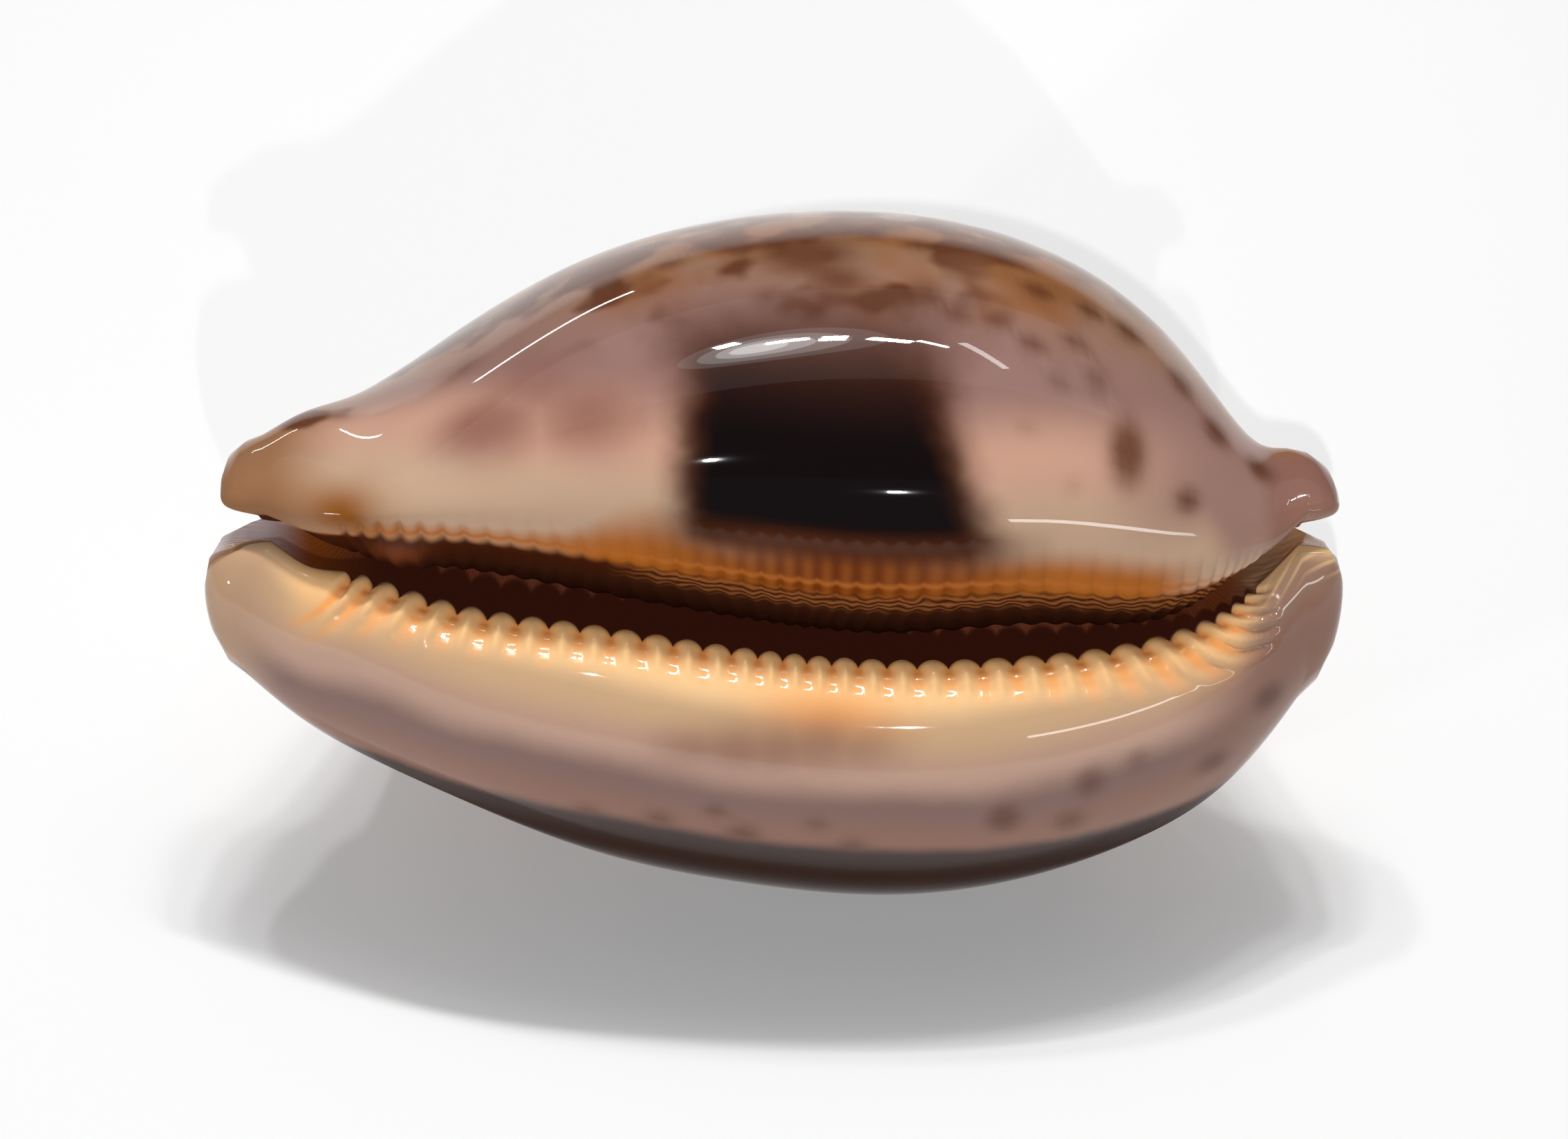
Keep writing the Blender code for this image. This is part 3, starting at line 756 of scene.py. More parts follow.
class Wire:
    """A shader socket that can be reckoned with like a number."""

    def __init__(self, sheet: "ShaderSheet", socket: bpy.types.NodeSocket) -> None:
        """Wrap one output socket."""
        self.sheet, self.socket = sheet, socket

    def maths(self, operation: str, *values: Any) -> "Wire":
        """A Math node of these values."""
        return self.sheet.add("ShaderNodeMath", {"operation": operation}, dict(enumerate(values)))

    __add__, __radd__ = operator("ADD"), operator("ADD", True)
    __sub__, __rsub__ = operator("SUBTRACT"), operator("SUBTRACT", True)
    __mul__, __rmul__ = operator("MULTIPLY"), operator("MULTIPLY", True)
    __truediv__, __pow__ = operator("DIVIDE"), operator("POWER")
    most, least = operator("MAXIMUM"), operator("MINIMUM")

    def __abs__(self) -> "Wire":
        """Size without its sign."""
        return self.maths("ABSOLUTE", self)

    def cosine(self) -> "Wire":
        """Cosine."""
        return self.maths("COSINE", self)

    def rise(self, start: float, stop: float) -> "Wire":
        """Smooth step from 0 at start to 1 at stop; start may be the greater.

        Args:
            start: where the step starts.
            stop: where it ends.

        Returns:
            The step's height.
        """
        low, high, first, last = (start, stop, 0.0, 1.0) if start < stop else (stop, start, 1.0, 0.0)
        return self.sheet.add("ShaderNodeMapRange", {"interpolation_type": "SMOOTHSTEP"},
                              {"Value": self, "From Min": low, "From Max": high, "To Min": first,
                               "To Max": last})

    def bell(self, centre: float, width: float) -> "Wire":
        """Smooth bump of height 1 at centre that ends a width away on both sides."""
        return abs(self - centre).rise(width, 0.0)


class ShaderSheet:
    """The node tree of one material, with one method that adds any node."""

    def __init__(self, name: str) -> None:
        """Start a material with its output and its Principled shader only.

        Args:
            name: the material's name.
        """
        self.material = bpy.data.materials.new(name)
        self.material.use_nodes = True
        self.tree = self.material.node_tree
        self.shader = self.tree.nodes["Principled BSDF"]

    def add(self, kind: str, settings: Mapping[str, Any] | None = None,
            values: Mapping[Any, Any] | None = None, output: Any = 0) -> Wire:
        """Add a node.

        Args:
            kind: the node's type.
            settings: its properties, set first; "stops" holds a colour ramp's places and colours.
            values: numbers, colours or wires for its sockets, by name or index.
            output: the output socket that is wanted.

        Returns:
            The wire of that output.
        """
        node = self.tree.nodes.new(kind)
        for key, value in (settings or {}).items():
            if key == "stops":
                self.fill_ramp(node.color_ramp, value)
            else:
                setattr(node, key, value)
        for key, value in (values or {}).items():
            self.feed(node.inputs[key], value)
        return Wire(self, node.outputs[output])

    def feed(self, socket: bpy.types.NodeSocket, value: Any) -> None:
        """Link a wire to a socket, or set its number or colour.

        Args:
            socket: an input of a node.
            value: a wire, number or colour.
        """
        if isinstance(value, Wire):
            self.tree.links.new(value.socket, socket)
        else:
            socket.default_value = value

    def finish(self, inputs: Mapping[str, Any]) -> bpy.types.Material:
        """Feed the shader's inputs by name, and give the material.

        Args:
            inputs: wires, numbers or colours by the input's name.

        Returns:
            The material.
        """
        for name, value in inputs.items():
            self.feed(self.shader.inputs[name], value)
        return self.material

    @staticmethod
    def fill_ramp(ramp: bpy.types.ColorRamp, stops: Sequence[tuple]) -> None:
        """Give a ramp its stops: a place and a colour each.

        Args:
            ramp: the colour ramp.
            stops: its places from 0 to 1 and colours.
        """
        ramp.interpolation = "EASE"
        while len(ramp.elements) < len(stops):
            ramp.elements.new(1.0)
        for element, (place, colour) in zip(ramp.elements, stops):
            element.position = place
            element.color = colour

    def lie(self, name: str) -> Wire:
        """A number stored on the mesh's points."""
        return self.add("ShaderNodeAttribute", {"attribute_name": name}, output="Fac")

    def mix(self, share: Any, first: Any, second: Any) -> Wire:
        """Colour between first and second by a share."""
        return self.add("ShaderNodeMix", {"data_type": "RGBA"}, {0: share, 6: first, 7: second}, 2)

    def coats(self, colour: Any, *layers: tuple[Any, Any]) -> Wire:
        """A colour with layers over it in turn: the share and the colour of each.

        Args:
            colour: the ground.
            layers: share and colour of each layer.

        Returns:
            The colour on top.
        """
        for share, layer in layers:
            colour = self.mix(share, colour, layer)
        return colour

    def ramp(self, value: Wire, reach: float, stops: Sequence[tuple]) -> Wire:
        """Colours along a value that runs from 0 to reach, the stops placed in the same measure."""
        shares = [(place / reach, colour) for place, colour in stops]
        return self.add("ShaderNodeValToRGB", {"stops": shares}, {0: value / reach})

    def noise(self, vector: Wire, scale: float, detail: float = 2.0, rough: float = 0.5) -> Wire:
        """Smooth noise round 0, from about -1 to 1.

        Args:
            vector: where the noise is read.
            scale: waves in a unit of that vector.
            detail: how many finer octaves.
            rough: the strength of each against the last.

        Returns:
            The noise.
        """
        found = self.add("ShaderNodeTexNoise", None,
                         {"Vector": vector, "Scale": scale, "Detail": detail, "Roughness": rough}, "Fac")
        return found * 2.0 - 1.0

    def vector(self, x: Any, y: Any, z: Any = 0.0) -> Wire:
        """A vector of three numbers."""
        return self.add("ShaderNodeCombineXYZ", None, {0: x, 1: y, 2: z})


@dataclass(frozen=True)
class ShellGlaze:
    """Glazed shell: its colours, and its gloss."""

    dark: Colour = tone(14, 6, 7)
    blotch_edge: Colour = tone(84, 42, 22)
    blotch_top: Colour = tone(72, 38, 26)
    amber: Colour = tone(114, 50, 6)
    orange: Colour = tone(174, 100, 34)
    tooth_line: Colour = tone(182, 104, 40)
    cream: Colour = tone(194, 162, 136)
    pink: Colour = tone(200, 156, 134)
    lilac: Colour = tone(144, 109, 101)
    mauve: Colour = tone(124, 84, 70)
    top_ground: Colour = tone(150, 114, 86)
    ochre: Colour = tone(140, 84, 34)
    peach: Colour = tone(246, 204, 150)
    groove: Colour = tone(250, 152, 60)
    lip_orange: Colour = tone(250, 190, 124)
    lip_cream: Colour = tone(204, 168, 130)
    lip_pink: Colour = tone(196, 158, 138)
    lip_lilac: Colour = tone(131, 98, 89)
    nose: Colour = tone(186, 150, 120)
    margin: Colour = tone(140, 98, 80)
    # painted shade and painted dark reflection along the underside
    underside_painted_shade: Colour = tone(52, 32, 24)
    spot: Colour = tone(90, 46, 22)
    smudge: Colour = tone(132, 86, 74)
    beak: Colour = tone(148, 106, 74)
    nub: Colour = tone(118, 70, 58)
    # painted shade: brown of the hollow, darker than the shell's own pale inside
    inside: Colour = tone(150, 84, 54)
    flap: Colour = tone(112, 58, 34)
    # near-black painted shade down the curl, where it turns into the aperture
    curl_edge: Colour = tone(64, 32, 18)
    unlit: Colour = tone(0, 0, 0)
    # colour of the painted glow further inside
    inside_glow: Colour = tone(98, 52, 38)
    # dark brown painted shade of the curl's wall inside the aperture
    wall_painted_shade: Colour = tone(66, 30, 14)
    wall_light: Colour = tone(148, 92, 50)
    # pale grey of the canal rims, also the painted glow's colour there
    canal_grey: Colour = tone(204, 190, 190)
    # brown painted shade deeper in the canals, and the painted glow's colour there
    canal_brown: Colour = tone(164, 88, 34)
    inner_cream: Colour = tone(214, 156, 98)
    back_ground: Colour = tone(160, 118, 88)
    back_brown: Colour = tone(104, 58, 28)
    back_pale: Colour = tone(206, 182, 162)
    roughness: float = 0.3
    coat: float = 0.9
    dulling: float = 0.85
    coat_roughness: float = 0.022
    specular: float = 0.0
    # strength of the painted glow
    glow: float = 0.13
    subsurface: float = 0.1
    subsurface_scale: float = 0.0012
    wave_height: float = 0.00006
    line_height: float = 0.00004

    def dress(self) -> bpy.types.Material:
        """The glaze's material, its colour, coat, ripples and faint painted glow laid by the painter.

        Returns:
            The material.
        """
        sheet = ShaderSheet(Finish.GLAZE.value)
        painter = GlazePainter(sheet, self)
        return sheet.finish({
            "Base Color": painter.colours(), "Roughness": self.roughness,
            "Coat Weight": (1.0 - painter.dull() * self.dulling) * self.coat,
            "Coat Roughness": self.coat_roughness, "Specular IOR Level": self.specular,
            "Subsurface Weight": self.subsurface, "Subsurface Scale": self.subsurface_scale,
            "Normal": painter.ripples(), "Emission Color": painter.light_through(),
            "Emission Strength": self.glow})


class GlazePainter:
    """Lays the glaze's colours by the numbers stored on the shell's points.

    What a rise or bell starts and stops at is in millimetres: places run along the shell from -36 on
    the left, and ways run outward from a lip's edge. The factor after it is the layer's strength, or
    how far a noise moves the layer's edge.
    """

    across: float = 30.0
    streaks_per_tooth: float = 2.0 * math.pi * ToothRelief.columellar_ratio

    def __init__(self, sheet: ShaderSheet, glaze: ShellGlaze) -> None:
        """Read the stored numbers and make the noises that more than one layer uses.

        Args:
            sheet: the material's nodes.
            glaze: the colours.
        """
        self.sheet, self.glaze = sheet, glaze
        self.place = sheet.add("ShaderNodeTexCoord", output="Object")
        self.along, self.columellar, self.labral, self.inside, self.back = map(
            sheet.lie, ("along", "columellar_way", "labral_way", "inside", "back"))
        self.cloud = sheet.noise(self.place, 90.0, 3.0)
        self.grain = sheet.noise(self.place, 420.0, 3.0)
        self.lines = self.curl_lines()

    def dull(self) -> Wire:
        """Where the coat is dull: beside the slit and under the outer lip."""
        slit = self.columellar.rise(4.5, 2.2) * self.along.rise(31.0, 26.0)
        return slit.most(self.labral.bell(18.0, 4.5))

    def light_through(self) -> Wire:
        """Painted glow for light through the thin wall: grey in the front canal, warm brown further in.

        Returns:
            The light's colour.
        """
        glaze = self.glaze
        lit = self.sheet.coats(glaze.canal_grey, (self.along.rise(-32.5, -29.5), glaze.canal_brown),
                               (self.along.rise(-30.5, -26.0), glaze.inside_glow))
        return self.sheet.mix(self.inside, glaze.unlit, lit)

    def ripples(self) -> Wire:
        """Faint waves of the glaze and fine wavering lines on the curl.

        Returns:
            The bent normal.
        """
        waves = self.sheet.noise(self.place, 160.0, 1.0) * self.glaze.wave_height
        height = waves + self.lines * self.inside * self.glaze.line_height
        return self.sheet.add("ShaderNodeBump", None, {"Strength": 1.0, "Distance": 1.0, "Height": height})

    def curl_lines(self) -> Wire:
        """Fine lines along the curl that waver: cosine of the way down it, bent by noise."""
        bend = self.sheet.noise(self.sheet.vector(self.along * 0.5, self.columellar * 0.35), 1.0, 2.0)
        return (self.columellar * 7.5 + bend * 8.0).cosine() * 0.5 + 0.5

    def colours(self) -> Wire:
        """Colour all over the shell.

        Returns:
            The colour.
        """
        sheet, glaze = self.sheet, self.glaze
        spot = (sheet.lie("spots") + self.grain * 0.05 + self.cloud * 0.04).rise(0.06, 0.95)
        smudge = (sheet.lie("smudges") + self.grain * 0.06).rise(0.05, 1.1)
        wander = sheet.noise(self.place, 190.0, 3.0, 0.55)
        haze = self.columellar.rise(10.0, 20.0) * 2.0 + 1.0
        blotch = sheet.lie("blotch") / haze + self.grain * 0.15 + wander * 1.2
        core = sheet.mix(self.columellar.rise(9.0, 19.0), glaze.dark, glaze.blotch_top)
        faint = (self.columellar + self.cloud * 2.0).rise(22.0, 12.0)
        below = self.columellar.rise(4.6, 2.8) * self.along.bell(4.5, 13.0) ** 0.5
        return self.inner_colours(sheet.coats(
            self.top_colours(self.base_colours()), (self.back, self.back_colours()),
            (spot * 0.85, glaze.spot), (smudge * 0.9, glaze.smudge),
            (blotch.rise(-2.7, 0.9) * faint, glaze.blotch_edge),
            (blotch.rise(-1.4, 1.6) * faint, core), (below, self.edge_colours()),
            (sheet.lie("beak_spot"), glaze.ochre)))

    def top_colours(self, colour: Wire) -> Wire:
        """Brown and ochre mottling that thickens towards the back: noise raised by the way up.

        Args:
            colour: the colour below.

        Returns:
            The mottled colour.
        """
        up = self.sheet.lie("up") + self.cloud * 0.03
        ochre = (self.sheet.noise(self.place, 200.0, 1.0) + up.rise(0.25, 0.5) * 0.6).rise(-0.1, 0.7)
        mottle = self.sheet.noise(self.place, 250.0, 1.5)
        brown = (mottle + up.rise(0.24, 0.42) * 0.3).rise(0.06, 0.42) * up.rise(0.22, 0.28)
        brown = brown * (self.along.rise(22.0, 8.0) + up.rise(0.36, 0.46)).least(1.0)
        return self.sheet.coats(
            colour, (up.rise(0.23, 0.38) * 0.8, self.glaze.top_ground),
            (ochre * up.rise(0.22, 0.32) * 0.75, self.glaze.ochre), (brown * 0.9, self.glaze.spot))

    def edge_colours(self) -> Wire:
        """Amber to brown between the columellar teeth and the blotch, with the teeth's faint streaks.

        Returns:
            The colour.
        """
        streak = (self.sheet.lie("tooth") * self.streaks_per_tooth).cosine() * 0.5 + 0.5
        return self.sheet.coats(self.glaze.amber, (streak * 0.35, self.glaze.orange),
                                (self.columellar.rise(1.2, 2.8), self.glaze.blotch_edge))

    def base_colours(self) -> Wire:
        """The base: the outer lip's colours on its side of the slit's middle, the inner side's beyond."""
        nearer = (self.labral - self.columellar).rise(-0.5, 0.5)
        return self.sheet.mix(nearer, self.lower_colours(), self.upper_colours())

    def upper_colours(self) -> Wire:
        """The inner side: cream to mauve away from the slit, amber rim, lilac right end, beak and nub.

        Returns:
            The colour.
        """
        glaze, along, way = self.glaze, self.along, self.columellar
        width = 0.6 + along.rise(-17.0, -9.0) * 0.6 + along.bell(-7.5, 5.5) * 1.4 \
            + along.bell(19.0, 9.0) * 0.5
        orange = (way / width + self.cloud * 0.15).rise(1.9, 0.3)
        right_end = along.rise(18.0, 27.0) * (way + along.rise(26.0, 29.0) * 3.0).rise(2.0, 6.0)
        front = along.rise(-28.5, -24.5) * (along.rise(-18.0, -9.0) * 0.5 + 0.5) * along.rise(27.5, 23.0)
        ground = self.sheet.ramp(way + self.cloud * 1.2, self.across, [
            (0.0, glaze.cream), (4.2, glaze.cream), (8.0, glaze.pink), (13.0, glaze.lilac),
            (20.0, glaze.lilac), (30.0, glaze.mauve)])
        return self.sheet.coats(
            ground, (right_end * 0.85, glaze.lilac), (orange * front, glaze.orange),
            ((self.cloud * way.rise(5.0, 9.0)).rise(0.05, 0.6) * 0.45, glaze.mauve),
            (along.rise(-25.5, -31.5) * way.rise(14.0, 6.0), glaze.beak),
            ((along + self.cloud * 0.5).rise(29.6, 31.6) * 0.6, glaze.nub))

    def lower_colours(self) -> Wire:
        """The outer lip: peach to brown off the slit, orange ridges, nose, pleats, painted dark shade
        below.

        Returns:
            The colour.
        """
        glaze, along, way = self.glaze, self.along, self.labral
        ground = self.sheet.ramp(way + self.cloud * 1.0 + along * along * 0.0025, self.across, [
            (0.0, glaze.peach), (2.8, glaze.peach), (5.0, glaze.lip_cream), (8.0, glaze.lip_pink),
            (11.0, glaze.lip_lilac), (14.0, glaze.margin), (19.0, glaze.margin)])
        crest = abs((self.sheet.lie("slanted_tooth") * math.pi).cosine())
        length = 2.8 + along * along * 0.0022
        ridges = (way / length + self.cloud * 0.1).rise(1.25, 0.3) * along.rise(-31.5, -28.5) \
            * along.rise(31.5, 28.5)
        valley = crest.rise(0.95, 0.2) * ridges * way.rise(-0.3, 0.8)
        pleats = ((way * 1.5 + along) * 4.0 + self.cloud * 2.0).cosine().rise(0.2, 1.0) \
            * along.rise(30.0, 31.5) * way.bell(0.2, 2.6)
        return self.sheet.coats(
            ground, (ridges * 0.5, glaze.lip_orange), (valley * 0.65, glaze.groove),
            (along.bell(3.5, 7.5) * way.bell(3.8, 2.6) * 0.5, glaze.groove),
            ((along + way * 0.25).rise(-28.5, -32.5) * 0.85, glaze.nose),
            (along.rise(28.5, 31.5) * way.rise(-0.5, 1.5) * 0.8, glaze.lip_lilac),
            (along.rise(24.0, 31.0) * way.rise(2.5, 6.0) * 0.85, glaze.margin),
            (pleats * 0.6, glaze.peach),
            # painted shade: the underside darkened as if shaded and reflecting a dark ground
            ((way + self.cloud * 0.5 + self.grain * 0.15).rise(13.8, 15.2), glaze.underside_painted_shade))

    def back_colours(self) -> Wire:
        """The back: brown fine lines along the shell on a cream ground, round pale windows, mantle line.

        Returns:
            The colour.
        """
        sheet, glaze, cover = self.sheet, self.glaze, self.back
        bend = sheet.noise(self.place, 110.0, 2.0)
        stretched = sheet.vector(self.along * 0.22, self.columellar * 1.6 + bend * 1.6)
        lines = sheet.noise(stretched, 1.0, 3.0, 0.6)
        blots = sheet.noise(self.place, 260.0, 2.0)
        brown = (lines * cover + blots * 0.8 + cover * 0.45).rise(-0.05, 0.45)
        cell = sheet.add("ShaderNodeTexVoronoi", {"feature": "SMOOTH_F1"},
                         {"Vector": self.place, "Scale": 210.0, "Smoothness": 0.35, "Randomness": 0.9},
                         "Distance") + bend * 0.07
        mantle = (sheet.lie("mantle") + bend * 0.5).rise(1.7, 0.9)
        return sheet.coats(
            glaze.back_ground, (brown, glaze.back_brown), (cell.rise(0.42, 0.26) * 0.85, glaze.back_pale),
            (cell.bell(0.46, 0.08) * cover * 0.5, glaze.spot), (mantle, glaze.back_pale))

    def inner_colours(self, colour: Wire) -> Wire:
        """The curl's brown lined wall over painted shade, and the hollow behind both lips in painted shade.

        Args:
            colour: the colour outside.

        Returns:
            The colour inside and outside.
        """
        sheet, glaze, along, way = self.sheet, self.glaze, self.along, self.columellar
        # painted shade: the curl's wall is laid dark; its lines are lighter to the right and dark to the
        # left
        light = sheet.mix(along.rise(-6.0, -11.0), glaze.wall_light, glaze.wall_painted_shade)
        wall = sheet.coats(
            glaze.wall_painted_shade, (self.lines, light), (way.rise(-1.1, -0.5), glaze.amber),
            # painted shade further down the curl
            (way.rise(-2.8, -4.6), glaze.curl_edge),
            (along.bell(-23.2, 2.6) * way.bell(-2.2, 1.6), glaze.flap))
        line = way.bell(-0.1, 0.45) * along.rise(-27.0, -24.0) * along.rise(28.5, 24.5)
        # painted shade: the hollow darkens from pale grey at the canal rims through brown deeper inside
        hollow = sheet.ramp(along + ShellProfile.half_length, 2.0 * ShellProfile.half_length, [
            (0.0, glaze.canal_grey), (3.4, glaze.canal_grey), (6.4, glaze.canal_brown),
            (10.5, glaze.inside), (62.0, glaze.inside), (65.0, glaze.canal_brown),
            (67.5, glaze.lip_cream)])
        lip = sheet.mix(self.labral.rise(-0.6, -3.0), glaze.inner_cream, hollow)
        return sheet.coats(colour, (sheet.lie("curl"), wall), (line * 0.75, glaze.tooth_line),
                           (self.inside, lip))


def stand(name: str, data: bpy.types.ID) -> bpy.types.Object:
    """A new object of this data, put into the scene.

    Args:
        name: the object's name.
        data: its mesh, lamp or camera.

    Returns:
        The object.
    """
    item = bpy.data.objects.new(name, data)
    bpy.context.scene.collection.objects.link(item)
    return item


class CowrieShell:
    """The dressed shell: the fine wall with its markings stored on its points, and the glaze."""

    def __init__(self, laid: LaidShell, marks: Markings, glaze: ShellGlaze) -> None:
        """Keep what the shell is made from."""
        self.laid, self.marks, self.glaze = laid, marks, glaze

    def cover(self) -> tuple[np.ndarray, np.ndarray]:
        """Point numbers over the grid and which points are kept.

        Rows keep every first or fourth step. The first and last steps fold the inside onto the
        outside, so there the inside takes the outside's points.

        Returns:
            Numbers, with -1 where no point is kept, and whether a point is kept.
        """
        wall = self.laid.wall
        steps, count = len(wall.along), len(wall.rows)
        kept = np.arange(steps)[:, None] % wall.stride[None] == 0
        mirror = (count - np.arange(count)) % count
        inner = wall.rows > wall.loop.curl_edge
        kept[[0, -1]] = ~inner[None]
        number = np.where(kept, np.cumsum(kept).reshape(kept.shape) - 1, -1)
        number[[0, -1]] = np.where(inner[None], number[[0, -1]][:, mirror], number[[0, -1]])
        return number, kept

    def faces(self, number: np.ndarray) -> tuple[np.ndarray, np.ndarray]:
        """Quads between rows of one stride, and fans of triangles where the stride changes.

        Args:
            number: point numbers over (places, rows).

        Returns:
            Quads (n, 4) and triangles (m, 3).
        """
        wall = self.laid.wall
        coarse = wall.loop.coarse
        quads, triangles = [], []
        for row, (stride, following) in enumerate(zip(wall.stride, np.roll(wall.stride, -1))):
            first, second = number[:, row], number[:, (row + 1) % len(wall.rows)]
            if stride == following:
                a, b = first[::stride], second[::stride]
                quads.append(np.stack([a[:-1], a[1:], b[1:], b[:-1]], axis=-1))
                continue
            fine, wide, turned = (first, second, False) if stride < following else (second, first, True)
            left, right = wide[::coarse][:-1], wide[::coarse][1:]
            fans = []
            for k in range(coarse):
                a, b = fine[k:-1:coarse], fine[k + 1::coarse]
                fans.append(np.stack([a, b, left if k < coarse // 2 else right], axis=-1))
            fans.append(np.stack([fine[coarse // 2:-1:coarse], right, left], axis=-1))
            fans = np.concatenate(fans)
            triangles.append(fans[:, ::-1] if turned else fans)
        return np.concatenate(quads), np.concatenate(triangles)

    def lies(self) -> dict[str, np.ndarray]:
        """The numbers stored on the points, each over (places, rows).

        Returns:
            Ways and distances in millimetres, tooth numbers, and covers from 0 to 1. "up" is the
            columellar way as a share of half the way round.
        """
        laid, marks, wall = self.laid, self.marks, self.laid.wall
        rows, loop = wall.rows[None], wall.loop
        along = wall.plain[..., 0]
        labral, columellar = wall.labral_way(), wall.columellar_way()
        outer = (rows <= loop.curl_edge) * np.ones_like(along)
        curl = ease(*marks.curl_band, rows - loop.tooth_line) * outer
        inner_lip = (1.0 - outer) * ease(*marks.inner_lip, labral)
        inside = np.maximum(inner_lip, outer * ease(*marks.curl_painted_shade, rows))
        inside = np.where((rows > loop.curl_edge) & (rows < loop.inner_lip), 1.0, inside)
        half_way = (labral + columellar) / 2.0
        up, out = (way / np.maximum(half_way, 1.0) for way in (columellar, labral))
        back = ease(*marks.back_up, up) * ease(*marks.back_out, out) * outer
        bend = sum(size * np.sin(along / length + turn) for size, length, turn in marks.mantle_waves)
        mantle = np.abs(columellar - (marks.mantle_share + bend) * half_way)
        mantle = np.where(back > 0.5, mantle, marks.no_mantle)
        return {
            "along": along, "labral_way": labral, "columellar_way": columellar,
            "tooth": wall.number[:, None] + 0.0 * along, "slanted_tooth": wall.slanted_number(),
            "curl": curl, "inside": inside, "back": back, "mantle": mantle,
            "up": up * outer * ease(*marks.off_lip, out),
            "spots": marks.soft(laid, marks.brown_spots), "smudges": marks.soft(laid, marks.smudges),
            "beak_spot": marks.soft(laid, marks.beak_spot), "blotch": marks.fenced(laid, marks.blotch)}

    def build(self) -> bpy.types.Object:
        """The shell as an object in the frame, riding on the root in place of the solid.

        Returns:
            The object.
        """
        number, kept = self.cover()
        quads, triangles = self.faces(number)
        mesh = bpy.data.meshes.new("cowrie_shell_glazed")
        points = self.laid.points[kept]
        mesh.vertices.add(len(points))
        mesh.vertices.foreach_set("co", points.astype(np.float32).ravel())
        corners = np.concatenate([quads.ravel(), triangles.ravel()]).astype(np.int32)
        mesh.loops.add(len(corners))
        mesh.loops.foreach_set("vertex_index", corners)
        starts = np.concatenate([np.arange(len(quads)) * 4, 4 * len(quads) + np.arange(len(triangles)) * 3])
        mesh.polygons.add(len(starts))
        mesh.polygons.foreach_set("loop_start", starts.astype(np.int32))
        mesh.update(calc_edges=True)
        mesh.validate()
        mesh.shade_smooth()
        for name, values in self.lies().items():
            stored = mesh.attributes.new(name, "FLOAT", "POINT")
            stored.data.foreach_set("value", values[kept].astype(np.float32))
        mesh.materials.append(self.glaze.dress())
        shell = stand("cowrie_shell_glazed", mesh)
        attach(shell, "root")
        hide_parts(NODE)
        LOG.info("%s: %d points, %d quads, %d triangles", shell.name, len(points), len(quads),
                 len(triangles))
        return shell


@dataclass(frozen=True)
class Lamp:
    """A lamp: its place, width and depth as shares of the studio's lamp height, and its brightness.

    A lamp at full height lies level, and a lower one faces the shell. A round one is an ellipse.
    """

    name: str
    across: float
    back: float
    width: float
    depth: float
    brightness: float
    up: float = 1.0
    round: bool = False


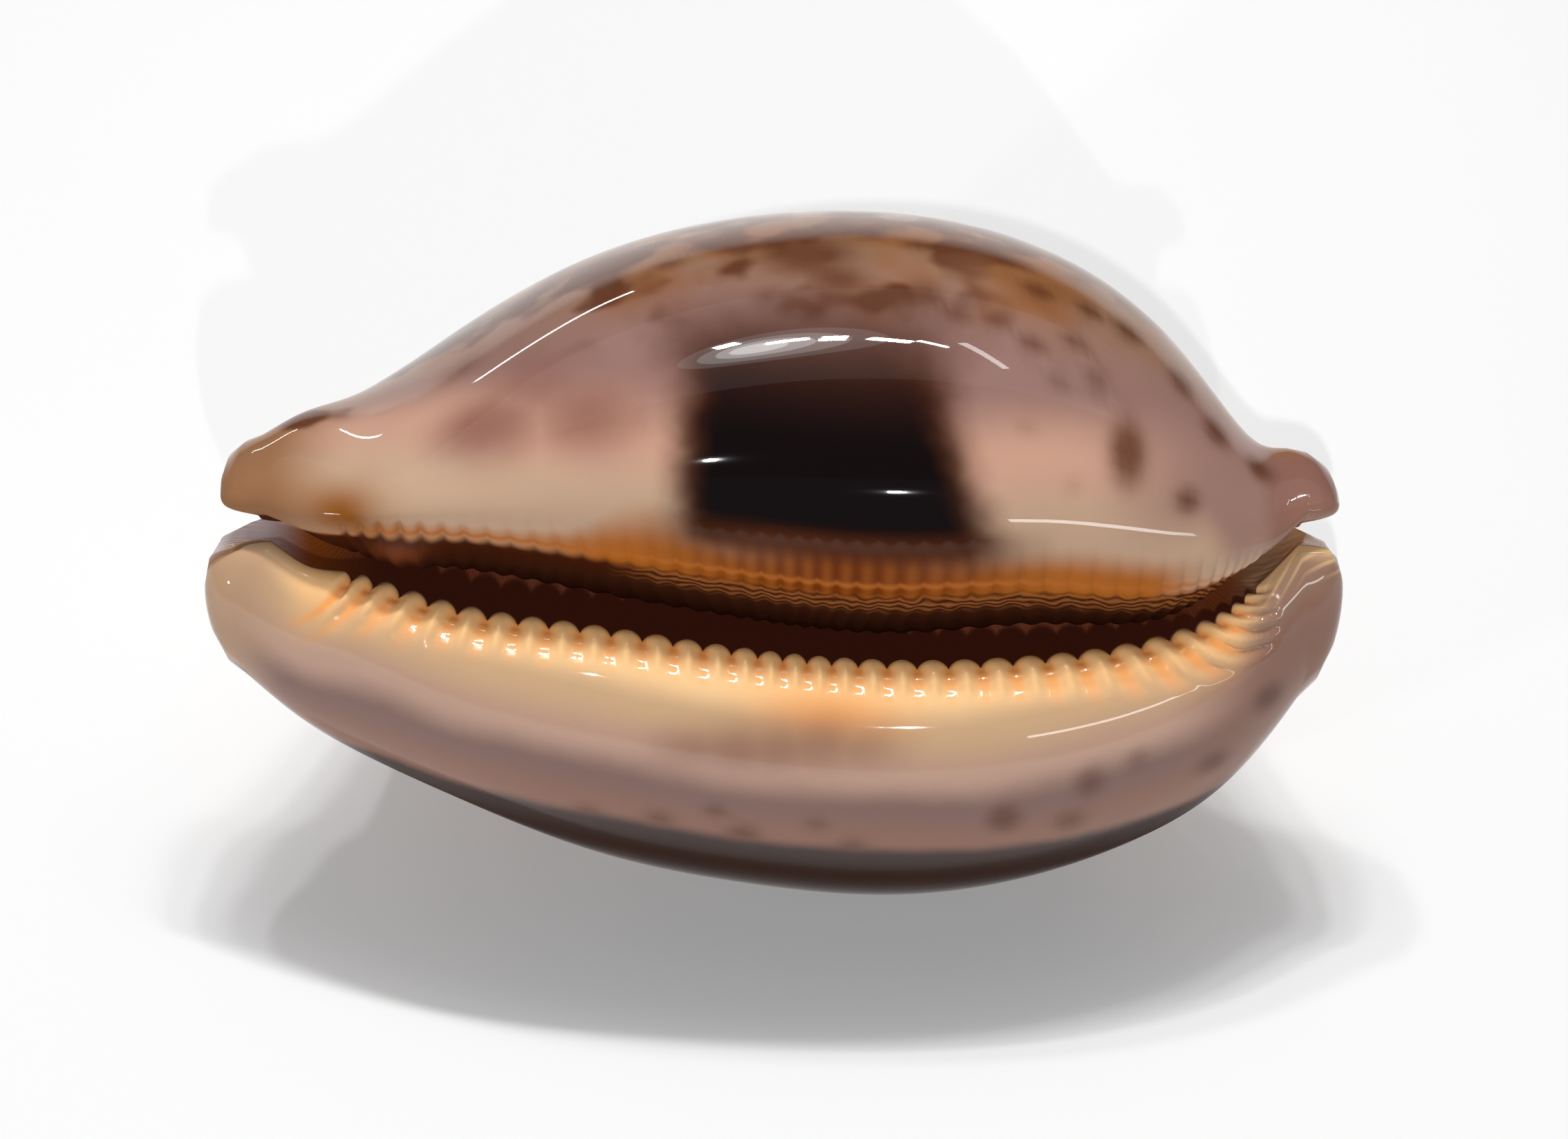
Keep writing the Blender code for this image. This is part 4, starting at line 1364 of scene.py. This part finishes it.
@dataclass(frozen=True)
class Studio:
    """Plain pale floor, soft light and the camera at the photograph's viewing angle."""

    floor_side: float = 6.0
    floor_colours: tuple = (tone(240, 240, 240), tone(244, 244, 244))
    floor_roughness: float = 0.9
    air: tuple = (0.95, 0.97, 1.0)
    air_strength: float = 0.085
    height: float = 0.40
    lamps: tuple = (
        Lamp("back_softbox", 0.00, 0.55, 2.0, 1.30, 0.32),
        Lamp("glow_outer", -0.06, 0.26, 0.36, 0.30, 0.9, 0.995, True),
        Lamp("glow_middle", -0.07, 0.25, 0.26, 0.22, 1.8, 0.99, True),
        Lamp("glow_inner", -0.08, 0.25, 0.17, 0.15, 3.4, 0.985, True),
        Lamp("glow_heart", -0.09, 0.25, 0.10, 0.09, 5.0, 0.98, True),
        Lamp("pane_one", -0.155, 0.33, 0.042, 0.035, 290.0, 0.97),
        Lamp("pane_two", -0.045, 0.285, 0.07, 0.022, 330.0, 0.97),
        Lamp("pane_three", 0.03, 0.275, 0.04, 0.042, 320.0, 0.97),
        Lamp("pane_four", 0.115, 0.25, 0.066, 0.025, 275.0, 0.97),
        Lamp("streak_near", 0.185, 0.235, 0.07, 0.016, 90.0, 0.97),
        Lamp("streak_far", 0.31, 0.19, 0.22, 0.03, 10.0, 0.97),
        Lamp("front_spot_left", -0.09, -0.83, 0.010, 0.020, 6200.0, 0.99),
        Lamp("front_spot_right", 0.19, -1.53, 0.012, 0.022, 5000.0, 0.99),
        Lamp("left_spot", -0.75, -0.66, 0.04, 0.03, 300.0, 0.25),
        Lamp("front_fill", 0.00, -1.70, 2.0, 1.00, 0.03, 0.80, True),
        Lamp("left_strip", -0.46, 0.90, 0.3, 0.02, 14.0, 0.2),
        Lamp("right_strip", 0.40, -0.70, 0.4, 0.03, 10.0, 0.24),
    )

    def build(self, laid: LaidShell) -> None:
        """Put the floor, lamps, air light and camera round the shell.

        Args:
            laid: the shell in its place.
        """
        low, top = (np.array(corner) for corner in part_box(NODE))
        centre = (low + top) / 2.0
        self.lay_floor(low[2])
        for lamp in self.lamps:
            self.hang(lamp, centre)
        self.fill_air()
        self.aim_camera(laid)

    def lay_floor(self, height: float) -> None:
        """A large pale square at the height the shell rests on.

        Args:
            height: the floor's height in metres.
        """
        half = self.floor_side / 2.0
        corners = [(x * half, y * half, height) for x, y in ((-1, -1), (1, -1), (1, 1), (-1, 1))]
        mesh = bpy.data.meshes.new("studio_floor")
        mesh.from_pydata(corners, [], [(0, 1, 2, 3)])
        sheet = ShaderSheet(Finish.FLOOR.value)
        cloud = sheet.noise(sheet.add("ShaderNodeTexCoord", output="Object"), 3.0) * 0.5 + 0.5
        mesh.materials.append(sheet.finish({"Base Color": sheet.mix(cloud, *self.floor_colours),
                                            "Roughness": self.floor_roughness}))
        floor = stand("studio_floor", mesh)

    def hang(self, lamp: Lamp, centre: np.ndarray) -> None:
        """Hang one area lamp. Its power is brightness times pi times its area.

        Args:
            lamp: what to hang.
            centre: the middle of the shell.
        """
        data = bpy.data.lights.new(lamp.name, "AREA")
        data.shape = "ELLIPSE" if lamp.round else "RECTANGLE"
        data.size, data.size_y = lamp.width * self.height, lamp.depth * self.height
        data.energy = lamp.brightness * math.pi * data.size * data.size_y
        item = stand(lamp.name, data)
        way = np.array((lamp.across, lamp.back, lamp.up))
        item.location = centre + way * self.height
        if lamp.up < 1.0:
            item.rotation_euler = Vector(way).to_track_quat("Z", "Y").to_euler()

    def fill_air(self) -> None:
        """Fill the studio with even light from all round."""
        world = bpy.data.worlds.new("studio_air")
        world.use_nodes = True
        background = world.node_tree.nodes["Background"]
        background.inputs["Color"].default_value = (*self.air, 1.0)
        background.inputs["Strength"].default_value = self.air_strength
        bpy.context.scene.world = world

    @staticmethod
    def aim_camera(laid: LaidShell) -> None:
        """Camera at the photograph's viewing angle.

        Args:
            laid: the shell in its place.
        """
        place, aim = laid.view.place(laid.origin)
        data = bpy.data.cameras.new("photo_view")
        data.lens, data.sensor_width = laid.view.lens, laid.view.sensor
        data.clip_start = 0.01
        camera = stand("photo_view", data)
        camera.location = place
        camera.rotation_euler = Vector(place - aim).to_track_quat("Z", "Y").to_euler()
        bpy.context.scene.camera = camera


def main() -> None:
    """Build the shell and the studio."""
    logging.basicConfig(level=logging.INFO, format="%(message)s")
    bpy.context.scene.view_settings.view_transform = "Standard"
    laid = LaidShell(ShellWall(ShellProfile(), LoopRows(), ToothRelief()), PhotoView())
    CowrieShell(laid, Markings(), ShellGlaze()).build()
    Studio().build(laid)
    LOG.info("studio: floor, %d lamps, camera", len(Studio.lamps))


if __name__ == "__main__":
    main()
